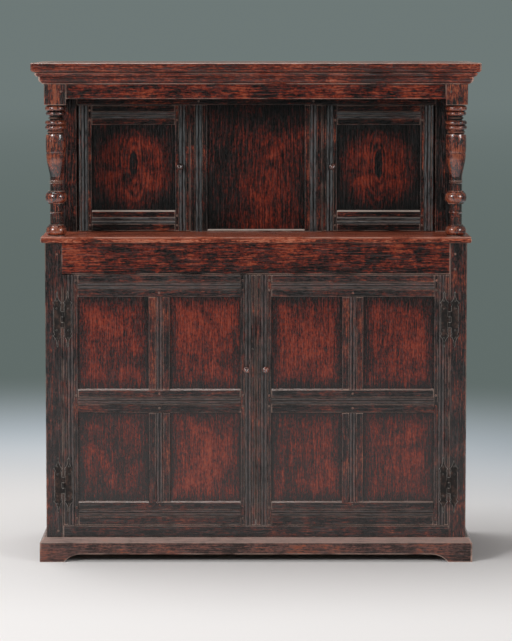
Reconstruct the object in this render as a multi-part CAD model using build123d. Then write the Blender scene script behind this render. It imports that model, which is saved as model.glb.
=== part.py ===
"""Joined oak court cupboard: two framed doors below, a recessed cupboard between turned columns above.

Every piece is drawn with the front of the lower stage at y = 0, the floor at z = 0 and the middle of the
cupboard at x = 0, then moved back so that the origin is the middle of the whole footprint.
Left-hand pieces are drawn and their right-hand twins are mirrored.
"""
from build123d import *
import os

os.makedirs("parts", exist_ok=True)

# ---- Overall stage sizes (mm) ----
carcass_width = 1390.0
carcass_depth = 530.0
recess_depth = 235.0

# ---- Heights, from the floor up ----
plinth_height = 80.0
bottom_rail_show = 38.0
lower_opening_height = 838.0
lower_frieze_height = 104.0
middle_shelf_thickness = 19.0
recess_height = 453.0
upper_frieze_show = 49.0
cornice_height = 69.0

# ---- Posts and rails of the carcass ----
post_width = 56.0
post_depth = 56.0
back_post_width = 50.0
back_post_depth = 50.0
carcass_rail_thickness = 30.0
bottom_rail_height = 70.0
side_thickness = 26.0
side_bottom_rail_height = 82.0
side_muntin_width = 71.0
back_rail_height = 70.0
back_rail_thickness = 26.0
back_board_thickness = 12.0
back_board_lap = 14.0
back_board_count = 7

# ---- Framing sections shared by doors, sides and fixed muntins ----
door_thickness = 24.0
panel_recess = 9.0
panel_edge_thickness = 9.0
panel_back_field = 3.0
panel_feather = 25.0
panel_tongue = 7.5
tongue_end_gap = 1.5
groove_slack = 0.4
small_arris = 0.8
panel_arris = 2.0
sill_chamfer = 5.0
run_width = 24.0
quirk_depth = 2.4
quirk_splay = 0.8
bead_sink = 0.4
cut_past = 1.0

# ---- Mortise and tenon joints ----
joint_clearance = 0.2
tenon_shoulder = 3.0
tenon_end_wood = 16.0
mortise_web = 3.0
side_tenon_length = 26.0
muntin_tenon_length = 24.0
rail_tenon_thickness = 10.0
rail_tenon_setback = 12.0
stub_tenon_length = 10.0
stub_tenon_setback = 14.0

# ---- Lower doors ----
stile_width = 49.5
door_side_gap = 1.5
door_end_gap = 2.0
meeting_gap = 3.0
top_rail_height = 74.0
mid_rail_height = 80.0
low_rail_height = 80.0
lower_panel_opening = 295.0
door_muntin_width = 71.0

# ---- Surface hinges of the lower doors ----
upper_hinge_height = 806.0
lower_hinge_height = 254.0
leaf_height = 186.0
leaf_width = 24.0
leaf_thickness = 2.5
finial_height = 44.0
finial_stem = 6.0
finial_barb = 3.0
knuckle_radius = 4.5
knuckle_length = 54.0
knuckle_gap = 0.3
knuckle_face_gap = 0.3
leaf_knuckle_gap = 0.8
hinge_pin_radius = 2.0
pin_clearance = 0.05

# ---- Knobs, lock and turn buttons ----
knob_radius = 11.5
knob_projection = 23.0
knob_head_height = 14.7
knob_collar_radius = 9.2
knob_collar_height = 2.5
knob_neck_radius = 5.8
knob_neck_rise = 2.0
knob_eye_radius = 4.0
knob_eye_depth = 1.0
knob_shank_radius = 5.0
knob_shank_length = 18.0
lower_knob_height = 640.0
lower_knob_setback = 30.0
keyhole_height = 667.0
keyhole_setback = 19.5
keyhole_radius = 3.0
keyhole_drop = 9.0
lock_width = 40.0
lock_height = 40.0
lock_depth = 14.0
bolt_height = 12.0
bolt_thickness = 5.0
bolt_length = 30.0
bolt_end_gap = 1.0
bolt_throw = 12.0
bolt_clearance = 0.1
bolt_mortise_clearance = 1.0
keyhole_end_wood = 1.0
upper_knob_height = 220.0
upper_knob_setback = 33.0
spindle_radius = 4.0
button_reach = 48.0
button_width = 12.0
button_thickness = 5.0
button_hub_radius = 9.0
button_gap = 0.6

# ---- Floor boards and inner shelf ----
floor_thickness = 14.0
floor_ledge = 10.0
floor_board_count = 6
inner_shelf_height = 540.0
inner_shelf_thickness = 16.0
inner_shelf_setback = 60.0
bearer_width = 22.0
bearer_height = 25.0
board_gap = 1.0
fitting_gap = 0.5

# ---- Middle shelf and plinth ----
shelf_overhang = 14.0
nose_bead_share = 0.78
nose_step_share = 0.06
plinth_projection = 21.5
plinth_chamfer_height = 17.0
plinth_ledge = 9.5
foot_length = 80.0
arch_height = 26.0
bracket_run = 58.0

# ---- Recessed front of the upper stage ----
corner_post_width = 91.0
corner_post_depth = 45.0
fixed_muntin_width = 58.0
centre_panel_width = 328.0
head_rail_show = 25.5
centre_sill_height = 8.0
centre_sill_chamfer = 4.5
upper_bottom_rail_height = 71.0

# ---- Upper doors ----
upper_stile_width = 49.0
upper_top_rail_height = 66.0
upper_low_rail_height = 70.0
upper_door_side_gap = 1.5
upper_door_meeting_gap = 2.0
pivot_radius = 4.0
pivot_depth = 14.0
pivot_shelf_depth = 12.0

# ---- Turned columns: radii ----
column_block = 72.0
block_drop = 20.0
great_ring_radius = 35.8
foot_ring_radius = 34.5
second_ring_radius = 33.0
collar_ring_radius = 31.5
body_radius = 34.0
foot_radius = 29.0
waist_radius = 27.0
bead_radius = 26.0
small_ring_radius = 23.5
shaft_radius = 19.8
dowel_radius = 12.0
dowel_length = 12.0
body_swell = 1.5
vase_swell = 5.0
vase_shoulder = 0.33
ring_shoulder = 0.12
ring_bulge = 9.0
shaft_line_depth = 1.6

# ---- Turned columns: heights of the turnings, from the shelf up ----
foot_height = 3.0
foot_ring_height = 32.0
fillet_height = 4.0
low_shaft_height = 33.0
shaft_line_height = 2.5
shaft_ring_height = 9.0
middle_shaft_height = 24.0
great_ring_height = 35.0
neck_height = 23.0
twin_ring_height = 12.0
vase_neck_height = 11.0
body_line_height = 2.5
body_height = 60.0
collar_gap_height = 3.5
collar_ring_height = 8.5
pair_ring_height = 15.5
bead_gap_height = 2.5
bead_height = 10.0
second_ring_height = 15.0
top_ring_height = 19.0
top_fillet_height = 1.5

# ---- Cornice and top ----
cornice_projection = 40.0
fascia_height = 23.0
fascia_cove = 7.5
cornice_bead_height = 14.0
cornice_bead_projection = 28.5
cornice_low_projection = 17.0
cornice_low_height = 19.5
cornice_foot_projection = 5.0
cornice_arris = 2.0
cornice_swell = 2.5
cornice_quirk = 4.0
cornice_cove = 3.0
curve_share = 0.4
top_board_thickness = 22.0
top_board_count = 3

# ---- Places worked out from the sizes above ----
half_width = carcass_width / 2
post_inner = half_width - post_width
back_post_inner = half_width - back_post_width
back_post_face = carcass_depth - back_post_depth
back_board_face = carcass_depth - back_board_thickness
back_rail_face = back_board_face - back_rail_thickness
side_inner = half_width - side_thickness
groove_width = panel_edge_thickness + groove_slack
groove_depth = panel_tongue + tongue_end_gap
tenon_setback = groove_depth + tenon_shoulder

opening_low = plinth_height + bottom_rail_show
opening_high = opening_low + lower_opening_height
lower_stage_top = opening_high + lower_frieze_height
bottom_rail_low = opening_low - bottom_rail_height
shelf_top = lower_stage_top + middle_shelf_thickness
upper_frieze_low = shelf_top + recess_height
cornice_low = upper_frieze_low + upper_frieze_show
cupboard_top = cornice_low + cornice_height
top_board_low = cupboard_top - top_board_thickness
block_low = upper_frieze_low - block_drop
head_rail_low = upper_frieze_low - head_rail_show


def block(x0, x1, y0, y1, z0, z1):
    """A squared piece of wood between the given faces."""
    centre = Pos((x0 + x1) / 2, (y0 + y1) / 2, (z0 + z1) / 2)
    return centre * Box(x1 - x0, y1 - y0, z1 - z0)


def mortise(x0, x1, y0, y1, z0, z1):
    """The pocket for the tenon block of the same places."""
    c = joint_clearance
    return block(x0 - c, x1 + c, y0 - c, y1 + c, z0 - c, z1 + c)


def cylinder_z(x, y, z0, z1, radius):
    """An upright round piece."""
    return Pos(x, y, (z0 + z1) / 2) * Cylinder(radius, z1 - z0)


def cylinder_y(x, z, y0, y1, radius):
    """A round piece that runs from front to back."""
    return Pos(x, (y0 + y1) / 2, z) * Rot(90, 0, 0) * Cylinder(radius, y1 - y0)


def mirrored(solids):
    """The right-hand twins of left-hand solids."""
    return [mirror(solid, about=Plane.YZ) for solid in solids]


def moulded_face(width, low_arris, high_arris):
    """The face line of a member with a double-bead scratch moulding along its middle."""
    middle = width / 2
    half = run_width / 2
    lead = Polyline(
        (low_arris, 0),
        (middle - half, 0),
        (middle - half + quirk_splay, quirk_depth),
    )
    low_bead = ThreePointArc(
        lead @ 1, (middle - half / 2, bead_sink), (middle - quirk_splay, quirk_depth)
    )
    land = Line(low_bead @ 1, (middle + quirk_splay, quirk_depth))
    high_bead = ThreePointArc(
        land @ 1, (middle + half / 2, bead_sink), (middle + half - quirk_splay, quirk_depth)
    )
    tail = Polyline(high_bead @ 1, (middle + half, 0), (width - high_arris, 0))
    return [lead, low_bead, land, high_bead, tail]


def section(width, thickness, moulded, arrises, grooves):
    """Section of a framing member: width along x, face at y = 0, low and high edge in each pair."""
    low_arris, high_arris = arrises
    low_groove, high_groove = grooves
    near, far = panel_recess, panel_recess + groove_width
    if moulded:
        face_line = moulded_face(width, low_arris, high_arris)
    else:
        face_line = [Line((low_arris, 0), (width - high_arris, 0))]
    points = [(width - high_arris, 0), (width, high_arris)]
    if high_groove:
        deep = width - groove_depth
        points += [(width, near), (deep, near), (deep, far), (width, far)]
    points += [(width, thickness), (0, thickness)]
    if low_groove:
        points += [(0, far), (groove_depth, far), (groove_depth, near), (0, near)]
    points += [(0, low_arris), (low_arris, 0)]
    return make_face(face_line + [Polyline(*points)])


def upright(x0, x1, z0, z1, thickness, moulded=False, arrises=None, grooves=(False, False)):
    """A stile, muntin or post with its face at y = 0."""
    arrises = arrises or (small_arris, small_arris)
    profile = section(x1 - x0, thickness, moulded, arrises, grooves)
    return Pos(x0, 0, z0) * extrude(profile, z1 - z0, dir=(0, 0, 1))


def rail(x0, x1, z0, z1, thickness, moulded=False, arrises=None, grooves=(False, False)):
    """A rail with its face at y = 0; the low edge of each pair is its underside."""
    arrises = arrises or (small_arris, small_arris)
    profile = section(z1 - z0, thickness, moulded, arrises, grooves)
    return Pos(x1, 0, z0) * Rot(0, -90, 0) * extrude(profile, x1 - x0, dir=(0, 0, 1))


def rail_tenons(x0, x1, z0, z1, length):
    """Places of the two tenons of a panelled rail, in line with its panel groove."""
    y0 = panel_recess + joint_clearance
    y1 = panel_recess + groove_width - joint_clearance
    low, high = z0 + tenon_setback, z1 - tenon_setback
    return [(x0 - length, x0, y0, y1, low, high), (x1, x1 + length, y0, y1, low, high)]


def muntin_tenons(x0, x1, z0, z1, length):
    """Places of the tenons at the two ends of a muntin."""
    y0 = panel_recess + joint_clearance
    y1 = panel_recess + groove_width - joint_clearance
    left, right = x0 + tenon_setback, x1 - tenon_setback
    return [(left, right, y0, y1, z0 - length, z0), (left, right, y0, y1, z1, z1 + length)]


def with_tenons(member, places):
    """A member with a tenon fused on at each of the places."""
    for place in places:
        member = member + block(*place)
    return member


def without_pockets(member, places):
    """A member with a mortise cut for each of the places."""
    return member - [mortise(*place) for place in places]


def scribed_foot(x0, x1, rail_top, thickness):
    """The wedge of wood under a muntin's foot that is cut away over a rail's sill chamfer."""
    under = rail_top - sill_chamfer - cut_past
    back = thickness + cut_past
    outline = Polyline(
        (-cut_past, under), (sill_chamfer, rail_top), (back, rail_top), (back, under), (-cut_past, under)
    )
    profile = Plane(origin=(x0 - cut_past, 0, 0), x_dir=(0, 1, 0), z_dir=(1, 0, 0)) * make_face(outline)
    return extrude(profile, x1 - x0 + 2 * cut_past, dir=(1, 0, 0))


def panel(x0, x1, z0, z1):
    """A panel for the opening given, flat in front, with its tongue in the grooves and a feathered back."""
    tongue = block(
        x0 - panel_tongue, x1 + panel_tongue,
        panel_recess, panel_recess + panel_edge_thickness,
        z0 - panel_tongue, z1 + panel_tongue,
    )
    width, height = x1 - x0, z1 - z0
    back = panel_recess + panel_edge_thickness
    turned = Plane(origin=((x0 + x1) / 2, back, (z0 + z1) / 2), x_dir=(1, 0, 0), z_dir=(0, 1, 0))
    outer = turned * Rectangle(width - 2 * small_arris, height - 2 * small_arris)
    inner = turned.offset(panel_back_field) * Rectangle(
        width - 2 * panel_feather, height - 2 * panel_feather
    )
    return tongue + loft([outer.face(), inner.face()])


def boards(x0, x1, count, y0, y1, z0, z1):
    """Upright boards side by side between x0 and x1."""
    pitch = (x1 - x0 + board_gap) / count
    return [
        block(x0 + i * pitch, x0 + (i + 1) * pitch - board_gap, y0, y1, z0, z1) for i in range(count)
    ]


def stub_tenon(x0, x1, y0, y1, z_top):
    """Place of the short tenon that holds the foot of an upright in the middle shelf."""
    inset_x = min(stub_tenon_setback, (x1 - x0) / 3)
    inset_y = min(stub_tenon_setback, (y1 - y0) / 3)
    return (x0 + inset_x, x1 - inset_x, y0 + inset_y, y1 - inset_y, z_top - stub_tenon_length, z_top)


nodes = {}

# ---- Lower stage: side frames, drawn as seen from outside, then turned to the left side ----
side_length = back_post_face - post_depth
side_low = bottom_rail_low
side_rail_top = side_low + side_bottom_rail_height
door_low = opening_low + door_end_gap
door_high = opening_high - door_end_gap
mid_rail_low = door_low + low_rail_height + lower_panel_opening
mid_rail_high = mid_rail_low + mid_rail_height
top_rail_low = door_high - top_rail_height
left_side = Pos(-half_width, back_post_face, 0) * Rot(0, 0, -90)

sill_top = (panel_arris, sill_chamfer)
side_rail_places = [
    (side_low, side_rail_top, (small_arris, sill_chamfer), (False, True)),
    (mid_rail_low, mid_rail_high, sill_top, (True, True)),
    (opening_high, lower_stage_top, (panel_arris, small_arris), (True, False)),
]
muntin_left = (side_length - side_muntin_width) / 2
muntin_right = muntin_left + side_muntin_width
side_levels = [(side_rail_top, mid_rail_low), (mid_rail_high, opening_high)]
side_muntins = []
side_panels = []
side_muntin_tenons = []
for low, high in side_levels:
    ends = muntin_tenons(muntin_left, muntin_right, low, high, muntin_tenon_length)
    side_muntin_tenons += ends
    muntin = upright(
        muntin_left, muntin_right, low - sill_chamfer, high, side_thickness,
        moulded=True, arrises=(panel_arris, panel_arris), grooves=(True, True),
    )
    muntin -= scribed_foot(muntin_left, muntin_right, low, side_thickness)
    side_muntins.append(with_tenons(muntin, ends))
    side_panels.append(panel(0, muntin_left, low, high))
    side_panels.append(panel(muntin_right, side_length, low, high))

side_rails = []
side_rail_tenons = []
for low, high, arrises, grooves in side_rail_places:
    ends = rail_tenons(0, side_length, low, high, side_tenon_length)
    side_rail_tenons += ends
    member = rail(0, side_length, low, high, side_thickness, moulded=True, arrises=arrises, grooves=grooves)
    member = without_pockets(member, side_muntin_tenons)
    side_rails.append(with_tenons(member, ends))

left_side_rails = [left_side * solid for solid in side_rails]
left_side_muntins = [left_side * solid for solid in side_muntins]
left_side_panels = [left_side * solid for solid in side_panels]
side_pockets = [left_side * mortise(*place) for place in side_rail_tenons]

nodes["left_side_rails"] = left_side_rails
nodes["right_side_rails"] = mirrored(left_side_rails)
nodes["side_muntins"] = left_side_muntins + mirrored(left_side_muntins)

# ---- Lower stage: front rails, with tenons that stop short of the side mortises ----
front_tenon_length = post_width - panel_recess - groove_width - mortise_web
rail_tenon_front = (carcass_rail_thickness - rail_tenon_thickness) / 2
rail_tenon_back = rail_tenon_front + rail_tenon_thickness


def front_rail_tenons(z0, z1, inner, length):
    """Places of the two tenons of a plain front rail between posts."""
    low, high = z0 + rail_tenon_setback, z1 - rail_tenon_setback
    return [
        (-inner - length, -inner, rail_tenon_front, rail_tenon_back, low, high),
        (inner, inner + length, rail_tenon_front, rail_tenon_back, low, high),
    ]


bottom_rail_tenons = front_rail_tenons(bottom_rail_low, opening_low, post_inner, front_tenon_length)
frieze_tenons = front_rail_tenons(opening_high, lower_stage_top, post_inner, front_tenon_length)
bottom_rail = with_tenons(
    rail(-post_inner, post_inner, bottom_rail_low, opening_low, carcass_rail_thickness), bottom_rail_tenons
)
floor_ledge_front = carcass_rail_thickness - floor_ledge
floor_low = opening_low - floor_thickness
bottom_rail -= block(
    -post_inner, post_inner, floor_ledge_front, carcass_rail_thickness, floor_low, opening_low
)
nodes["lower_bottom_rail"] = [bottom_rail]
nodes["lower_frieze_rail"] = [
    with_tenons(
        rail(-post_inner, post_inner, opening_high, lower_stage_top, carcass_rail_thickness), frieze_tenons
    )
]

# ---- Lower stage: posts ----
side_groove_outer = -half_width + panel_recess
side_groove_inner = side_groove_outer + groove_width
front_post = upright(-half_width, -post_inner, 0, lower_stage_top, post_depth)
front_post -= block(
    side_groove_outer, side_groove_inner,
    post_depth - groove_depth, post_depth,
    side_low, lower_stage_top,
)
front_post -= side_pockets
front_post = without_pockets(front_post, bottom_rail_tenons + frieze_tenons)
nodes["left_front_post"] = [front_post]
nodes["right_front_post"] = mirrored([front_post])

back_tenon_length = back_post_width - panel_recess - groove_width - mortise_web
back_tenon_front = back_rail_face + (back_rail_thickness - rail_tenon_thickness) / 2
back_rebate_inner = back_post_inner + back_board_lap


def back_rail_tenons(z0, z1):
    """Places of the two tenons of a back rail."""
    back = back_tenon_front + rail_tenon_thickness
    low, high = z0 + rail_tenon_setback, z1 - rail_tenon_setback
    outer = back_post_inner + back_tenon_length
    return [
        (-outer, -back_post_inner, back_tenon_front, back, low, high),
        (back_post_inner, outer, back_tenon_front, back, low, high),
    ]


def back_rail(z0, z1):
    """A plain rail between the back posts, with the back boards nailed behind it."""
    member = block(-back_post_inner, back_post_inner, back_rail_face, back_board_face, z0, z1)
    return with_tenons(member, back_rail_tenons(z0, z1))


def back_post(z0, z1, tenons):
    """A left back post with the rebate for the back boards, its groove and its mortises."""
    post = block(-half_width, -back_post_inner, back_post_face, carcass_depth, z0, z1)
    post -= block(-back_rebate_inner, -back_post_inner, back_board_face, carcass_depth, z0, z1)
    post -= block(
        side_groove_outer, side_groove_inner, back_post_face, back_post_face + groove_depth, side_low, z1
    )
    return without_pockets(post, tenons)


low_back_rail = (bottom_rail_low, bottom_rail_low + back_rail_height)
high_back_rail = (lower_stage_top - back_rail_height, lower_stage_top)
lower_back_tenons = back_rail_tenons(*low_back_rail) + back_rail_tenons(*high_back_rail)
lower_back_post = back_post(0, lower_stage_top, lower_back_tenons) - side_pockets
floor_ledge_back = back_rail_face + floor_ledge
bottom_back_rail = back_rail(*low_back_rail)
bottom_back_rail -= block(
    -back_post_inner, back_post_inner, back_rail_face, floor_ledge_back, floor_low, low_back_rail[1]
)
nodes["lower_back_rails"] = [bottom_back_rail, back_rail(*high_back_rail)]

back_board_half = back_rebate_inner - fitting_gap
lower_back_boards = boards(
    -back_board_half, back_board_half, back_board_count,
    back_board_face, carcass_depth, bottom_rail_low, lower_stage_top,
)

# ---- Lower stage: floor boards that rest on ledges of the front and back rails ----
floor_boards = boards(
    -post_inner + fitting_gap, post_inner - fitting_gap, floor_board_count,
    floor_ledge_front + fitting_gap, floor_ledge_back - fitting_gap, floor_low, opening_low,
)
floor_wing = block(
    -side_inner + fitting_gap, -post_inner + fitting_gap,
    post_depth + fitting_gap, back_post_face - fitting_gap, floor_low, opening_low,
)
floor_corner = block(
    -half_width, -back_post_inner + fitting_gap,
    back_post_face - fitting_gap, carcass_depth, floor_low, opening_low,
)
floor_boards[0] = floor_boards[0] + floor_wing - floor_corner
floor_boards[-1] = mirror(floor_boards[0], about=Plane.YZ)
nodes["floor_boards"] = floor_boards

# ---- Lower stage: inner shelf on bearers nailed to the side rails ----
shelf_low = inner_shelf_height - inner_shelf_thickness
shelf_wings = block(
    -side_inner + fitting_gap, side_inner - fitting_gap,
    inner_shelf_setback, back_post_face - fitting_gap, shelf_low, inner_shelf_height,
)
shelf_tail = block(
    -back_post_inner + fitting_gap, back_post_inner - fitting_gap,
    back_post_face - fitting_gap, back_board_face, shelf_low, inner_shelf_height,
)
nodes["inner_shelf"] = [shelf_wings + shelf_tail]
left_bearer = block(
    -side_inner, -side_inner + bearer_width,
    inner_shelf_setback, back_post_face - fitting_gap, shelf_low - bearer_height, shelf_low,
)
nodes["shelf_bearers"] = [left_bearer] + mirrored([left_bearer])

# ---- Plinth: mitred boards with a chamfered top and bracket feet ----
plinth_section = make_face(
    Polyline(
        (0, 0), (plinth_projection, 0),
        (plinth_projection, plinth_height - plinth_chamfer_height),
        (plinth_ledge, plinth_height), (0, plinth_height), (0, 0),
    )
)


def front_moulding(profile, projection, z0):
    """A moulding across the front, mitred at both corners; x of the profile stands out of the face."""
    length = carcass_width + 2 * projection
    start = Plane(origin=(length / 2, 0, z0), x_dir=(0, -1, 0), z_dir=(-1, 0, 0))
    stick = extrude(start * profile, length, dir=(-1, 0, 0))
    out = half_width + projection
    plan = Polyline(
        (-half_width, 0), (-out, -projection), (out, -projection), (half_width, 0), (-half_width, 0)
    )
    return stick & Pos(0, 0, z0) * extrude(make_face(plan), cupboard_top, dir=(0, 0, 1))


def left_moulding(profile, projection, z0):
    """The same moulding down the left side, mitred at its front end."""
    start = Plane(origin=(-half_width, -projection, z0), x_dir=(-1, 0, 0), z_dir=(0, 1, 0))
    stick = extrude(start * profile, carcass_depth + projection, dir=(0, 1, 0))
    out = half_width + projection
    plan = Polyline(
        (-half_width, 0), (-out, -projection), (-out, carcass_depth),
        (-half_width, carcass_depth), (-half_width, 0),
    )
    return stick & Pos(0, 0, z0) * extrude(make_face(plan), cupboard_top, dir=(0, 0, 1))


def bracket_arch(length, thickness):
    """The space under a plinth board between its bracket feet, centred on x = 0."""
    half = length / 2
    left_arc = TangentArc((-half + bracket_run, arch_height), (-half, 0), tangent=(-1, 0))
    right_arc = TangentArc((half - bracket_run, arch_height), (half, 0), tangent=(1, 0))
    crown = Line(left_arc @ 0, right_arc @ 0)
    floor_line = Line(left_arc @ 1, right_arc @ 1)
    profile = Plane.XZ * make_face([left_arc, crown, right_arc, floor_line])
    return Pos(0, cut_past, 0) * extrude(profile, thickness + 2 * cut_past, dir=(0, -1, 0))


plinth_half = half_width + plinth_projection
plinth_depth = carcass_depth + plinth_projection
front_arch = bracket_arch(2 * (plinth_half - foot_length), plinth_projection)
side_arch_centre = -plinth_projection + plinth_depth / 2
side_arch = (
    Pos(-half_width, side_arch_centre, 0)
    * Rot(0, 0, -90)
    * bracket_arch(plinth_depth - 2 * foot_length, plinth_projection)
)
nodes["plinth_front"] = [front_moulding(plinth_section, plinth_projection, 0) - front_arch]
plinth_left = left_moulding(plinth_section, plinth_projection, 0) - side_arch
nodes["plinth_sides"] = [plinth_left] + mirrored([plinth_left])

# ---- Lower doors: framed, with four panels each ----
door_left = -post_inner + door_side_gap
door_right = -meeting_gap / 2
hinge_stile_inner = door_left + stile_width
meeting_stile_inner = door_right - stile_width
door_tenon_length = stile_width - tenon_end_wood
low_rail_top = door_low + low_rail_height
door_muntin_left = (hinge_stile_inner + meeting_stile_inner - door_muntin_width) / 2
door_muntin_right = door_muntin_left + door_muntin_width

door_levels = [(low_rail_top, mid_rail_low), (mid_rail_high, top_rail_low)]
door_muntins = []
door_panels = []
door_muntin_tenons = []
for low, high in door_levels:
    ends = muntin_tenons(door_muntin_left, door_muntin_right, low, high, muntin_tenon_length)
    door_muntin_tenons += ends
    muntin = upright(
        door_muntin_left, door_muntin_right, low - sill_chamfer, high, door_thickness,
        moulded=True, arrises=(panel_arris, panel_arris), grooves=(True, True),
    )
    muntin -= scribed_foot(door_muntin_left, door_muntin_right, low, door_thickness)
    door_muntins.append(with_tenons(muntin, ends))
    door_panels.append(panel(hinge_stile_inner, door_muntin_left, low, high))
    door_panels.append(panel(door_muntin_right, meeting_stile_inner, low, high))

door_rail_places = [
    (door_low, low_rail_top, (small_arris, sill_chamfer), (False, True)),
    (mid_rail_low, mid_rail_high, sill_top, (True, True)),
    (top_rail_low, door_high, (panel_arris, small_arris), (True, False)),
]
door_rails = []
door_rail_tenons = []
for low, high, arrises, grooves in door_rail_places:
    ends = rail_tenons(hinge_stile_inner, meeting_stile_inner, low, high, door_tenon_length)
    door_rail_tenons += ends
    member = rail(
        hinge_stile_inner, meeting_stile_inner, low, high, door_thickness,
        moulded=True, arrises=arrises, grooves=grooves,
    )
    member = without_pockets(member, door_muntin_tenons)
    door_rails.append(with_tenons(member, ends))

hinge_stile = upright(
    door_left, hinge_stile_inner, door_low, door_high, door_thickness,
    moulded=True, arrises=(small_arris, panel_arris), grooves=(False, True),
)
hinge_stile = without_pockets(hinge_stile, door_rail_tenons)
knob_x = door_right - lower_knob_setback
shank_hole = cylinder_y(
    knob_x, lower_knob_height, -cut_past, knob_shank_length + joint_clearance,
    knob_shank_radius + pin_clearance,
)
meeting_stile = upright(
    meeting_stile_inner, door_right, door_low, door_high, door_thickness,
    moulded=True, arrises=(panel_arris, small_arris), grooves=(True, False),
)
meeting_stile = without_pockets(meeting_stile, door_rail_tenons) - shank_hole

# ---- Lock of the left door, let into the back of the meeting stile, and its mortise in the right door ----
keyhole_x = door_right - keyhole_setback
lock_front = door_thickness - lock_depth
lock_low = keyhole_height - lock_height / 2
lock_case = block(
    door_right - lock_width, door_right, lock_front, door_thickness, lock_low, lock_low + lock_height
)
bolt_front = lock_front + (lock_depth - bolt_thickness) / 2
bolt_right = door_right - bolt_end_gap
bolt_left = bolt_right - bolt_length
bolt_low = keyhole_height - bolt_height / 2
lock_bolt = block(
    bolt_left, bolt_right,
    bolt_front, bolt_front + bolt_thickness, bolt_low, bolt_low + bolt_height,
)
bolt_channel = block(
    bolt_left - bolt_clearance, door_right,
    bolt_front - bolt_clearance, bolt_front + bolt_thickness + bolt_clearance,
    bolt_low - bolt_clearance, bolt_low + bolt_height + bolt_clearance,
)
bolt_mortise = block(
    meeting_gap / 2, meeting_gap / 2 + bolt_throw,
    bolt_front - bolt_mortise_clearance, bolt_front + bolt_thickness + bolt_mortise_clearance,
    bolt_low - bolt_mortise_clearance, bolt_low + bolt_height + bolt_mortise_clearance,
)
keyhole_back = bolt_front - keyhole_end_wood
keyhole = cylinder_y(keyhole_x, keyhole_height, -cut_past, keyhole_back, keyhole_radius)
keyhole += block(
    keyhole_x - keyhole_radius / 2, keyhole_x + keyhole_radius / 2,
    -cut_past, keyhole_back, keyhole_height - keyhole_drop, keyhole_height,
)
nodes["lock_case"] = [lock_case - bolt_channel - keyhole]
nodes["lock_bolt"] = [lock_bolt]
left_meeting_stile = meeting_stile - lock_case - keyhole
right_meeting_stile = mirror(meeting_stile, about=Plane.YZ) - bolt_mortise

nodes["left_door_stiles"] = [hinge_stile, left_meeting_stile]
nodes["right_door_stiles"] = mirrored([hinge_stile]) + [right_meeting_stile]
nodes["left_door_rails"] = door_rails
nodes["right_door_rails"] = mirrored(door_rails)
nodes["left_door_muntins"] = door_muntins
nodes["right_door_muntins"] = mirrored(door_muntins)
nodes["left_door_panels"] = door_panels
nodes["right_door_panels"] = mirrored(door_panels)

# ---- Surface hinges: leaves with cusped ends, three knuckles and a pin ----
hinge_x = -post_inner + door_side_gap / 2
hinge_y = -knuckle_radius - knuckle_face_gap
leaf_inner = knuckle_radius + leaf_knuckle_gap


def leaf_outline():
    """Outline of a leaf right of the hinge axis: x from the axis, y up from the leaf's middle."""
    half = leaf_width / 2
    middle = leaf_inner + half
    tip = leaf_height / 2
    neck = tip - finial_height
    barb = neck + finial_barb * 2
    shoulder = neck - finial_barb * 2
    flare = ThreePointArc(
        (half + finial_barb, barb),
        (half / 2, barb + finial_height / 4),
        (finial_stem / 2, tip - finial_stem),
    )
    side = Polyline((half, 0), (half, shoulder), (half - finial_barb, neck), flare @ 0)
    right = [side, flare, Line(flare @ 1, (0, tip))]
    upper = right + [mirror(edge, about=Plane.YZ) for edge in right]
    lower = [mirror(edge, about=Plane.XZ) for edge in upper]
    return Pos(middle, 0) * make_face(upper + lower)


def hinge_leaf(height, segments):
    """A door leaf at the given height, with a knuckle over each stretch of its middle."""
    plate = Plane.XZ * leaf_outline()
    leaf = Pos(hinge_x, 0, height) * extrude(plate, leaf_thickness, dir=(0, -1, 0))
    for low, high in segments:
        leaf += cylinder_z(hinge_x, hinge_y, height + low, height + high, knuckle_radius)
        leaf += block(
            hinge_x, hinge_x + leaf_inner + leaf_width / 4, -leaf_thickness, -knuckle_face_gap,
            height + low, height + high,
        )
    bore = cylinder_z(
        hinge_x, hinge_y, height - knuckle_length, height + knuckle_length, hinge_pin_radius + pin_clearance
    )
    return leaf - bore


knuckle_third = knuckle_length / 3
middle_knuckle = [(-knuckle_third / 2, knuckle_third / 2)]
end_knuckles = [
    (-knuckle_length / 2, -knuckle_third / 2 - knuckle_gap),
    (knuckle_third / 2 + knuckle_gap, knuckle_length / 2),
]
hinge_heights = [lower_hinge_height, upper_hinge_height]
door_leaves = [hinge_leaf(height, middle_knuckle) for height in hinge_heights]
turn_about = Pos(2 * hinge_x, 0, 0)
post_leaves = [
    turn_about * mirror(hinge_leaf(height, end_knuckles), about=Plane.YZ) for height in hinge_heights
]
hinge_pins = [
    cylinder_z(
        hinge_x, hinge_y, height - knuckle_length / 2, height + knuckle_length / 2, hinge_pin_radius
    )
    for height in hinge_heights
]
nodes["left_door_hinge_leaves"] = door_leaves
nodes["right_door_hinge_leaves"] = mirrored(door_leaves)
nodes["post_hinge_leaves"] = post_leaves + mirrored(post_leaves)
nodes["hinge_pins"] = hinge_pins + mirrored(hinge_pins)


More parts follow.
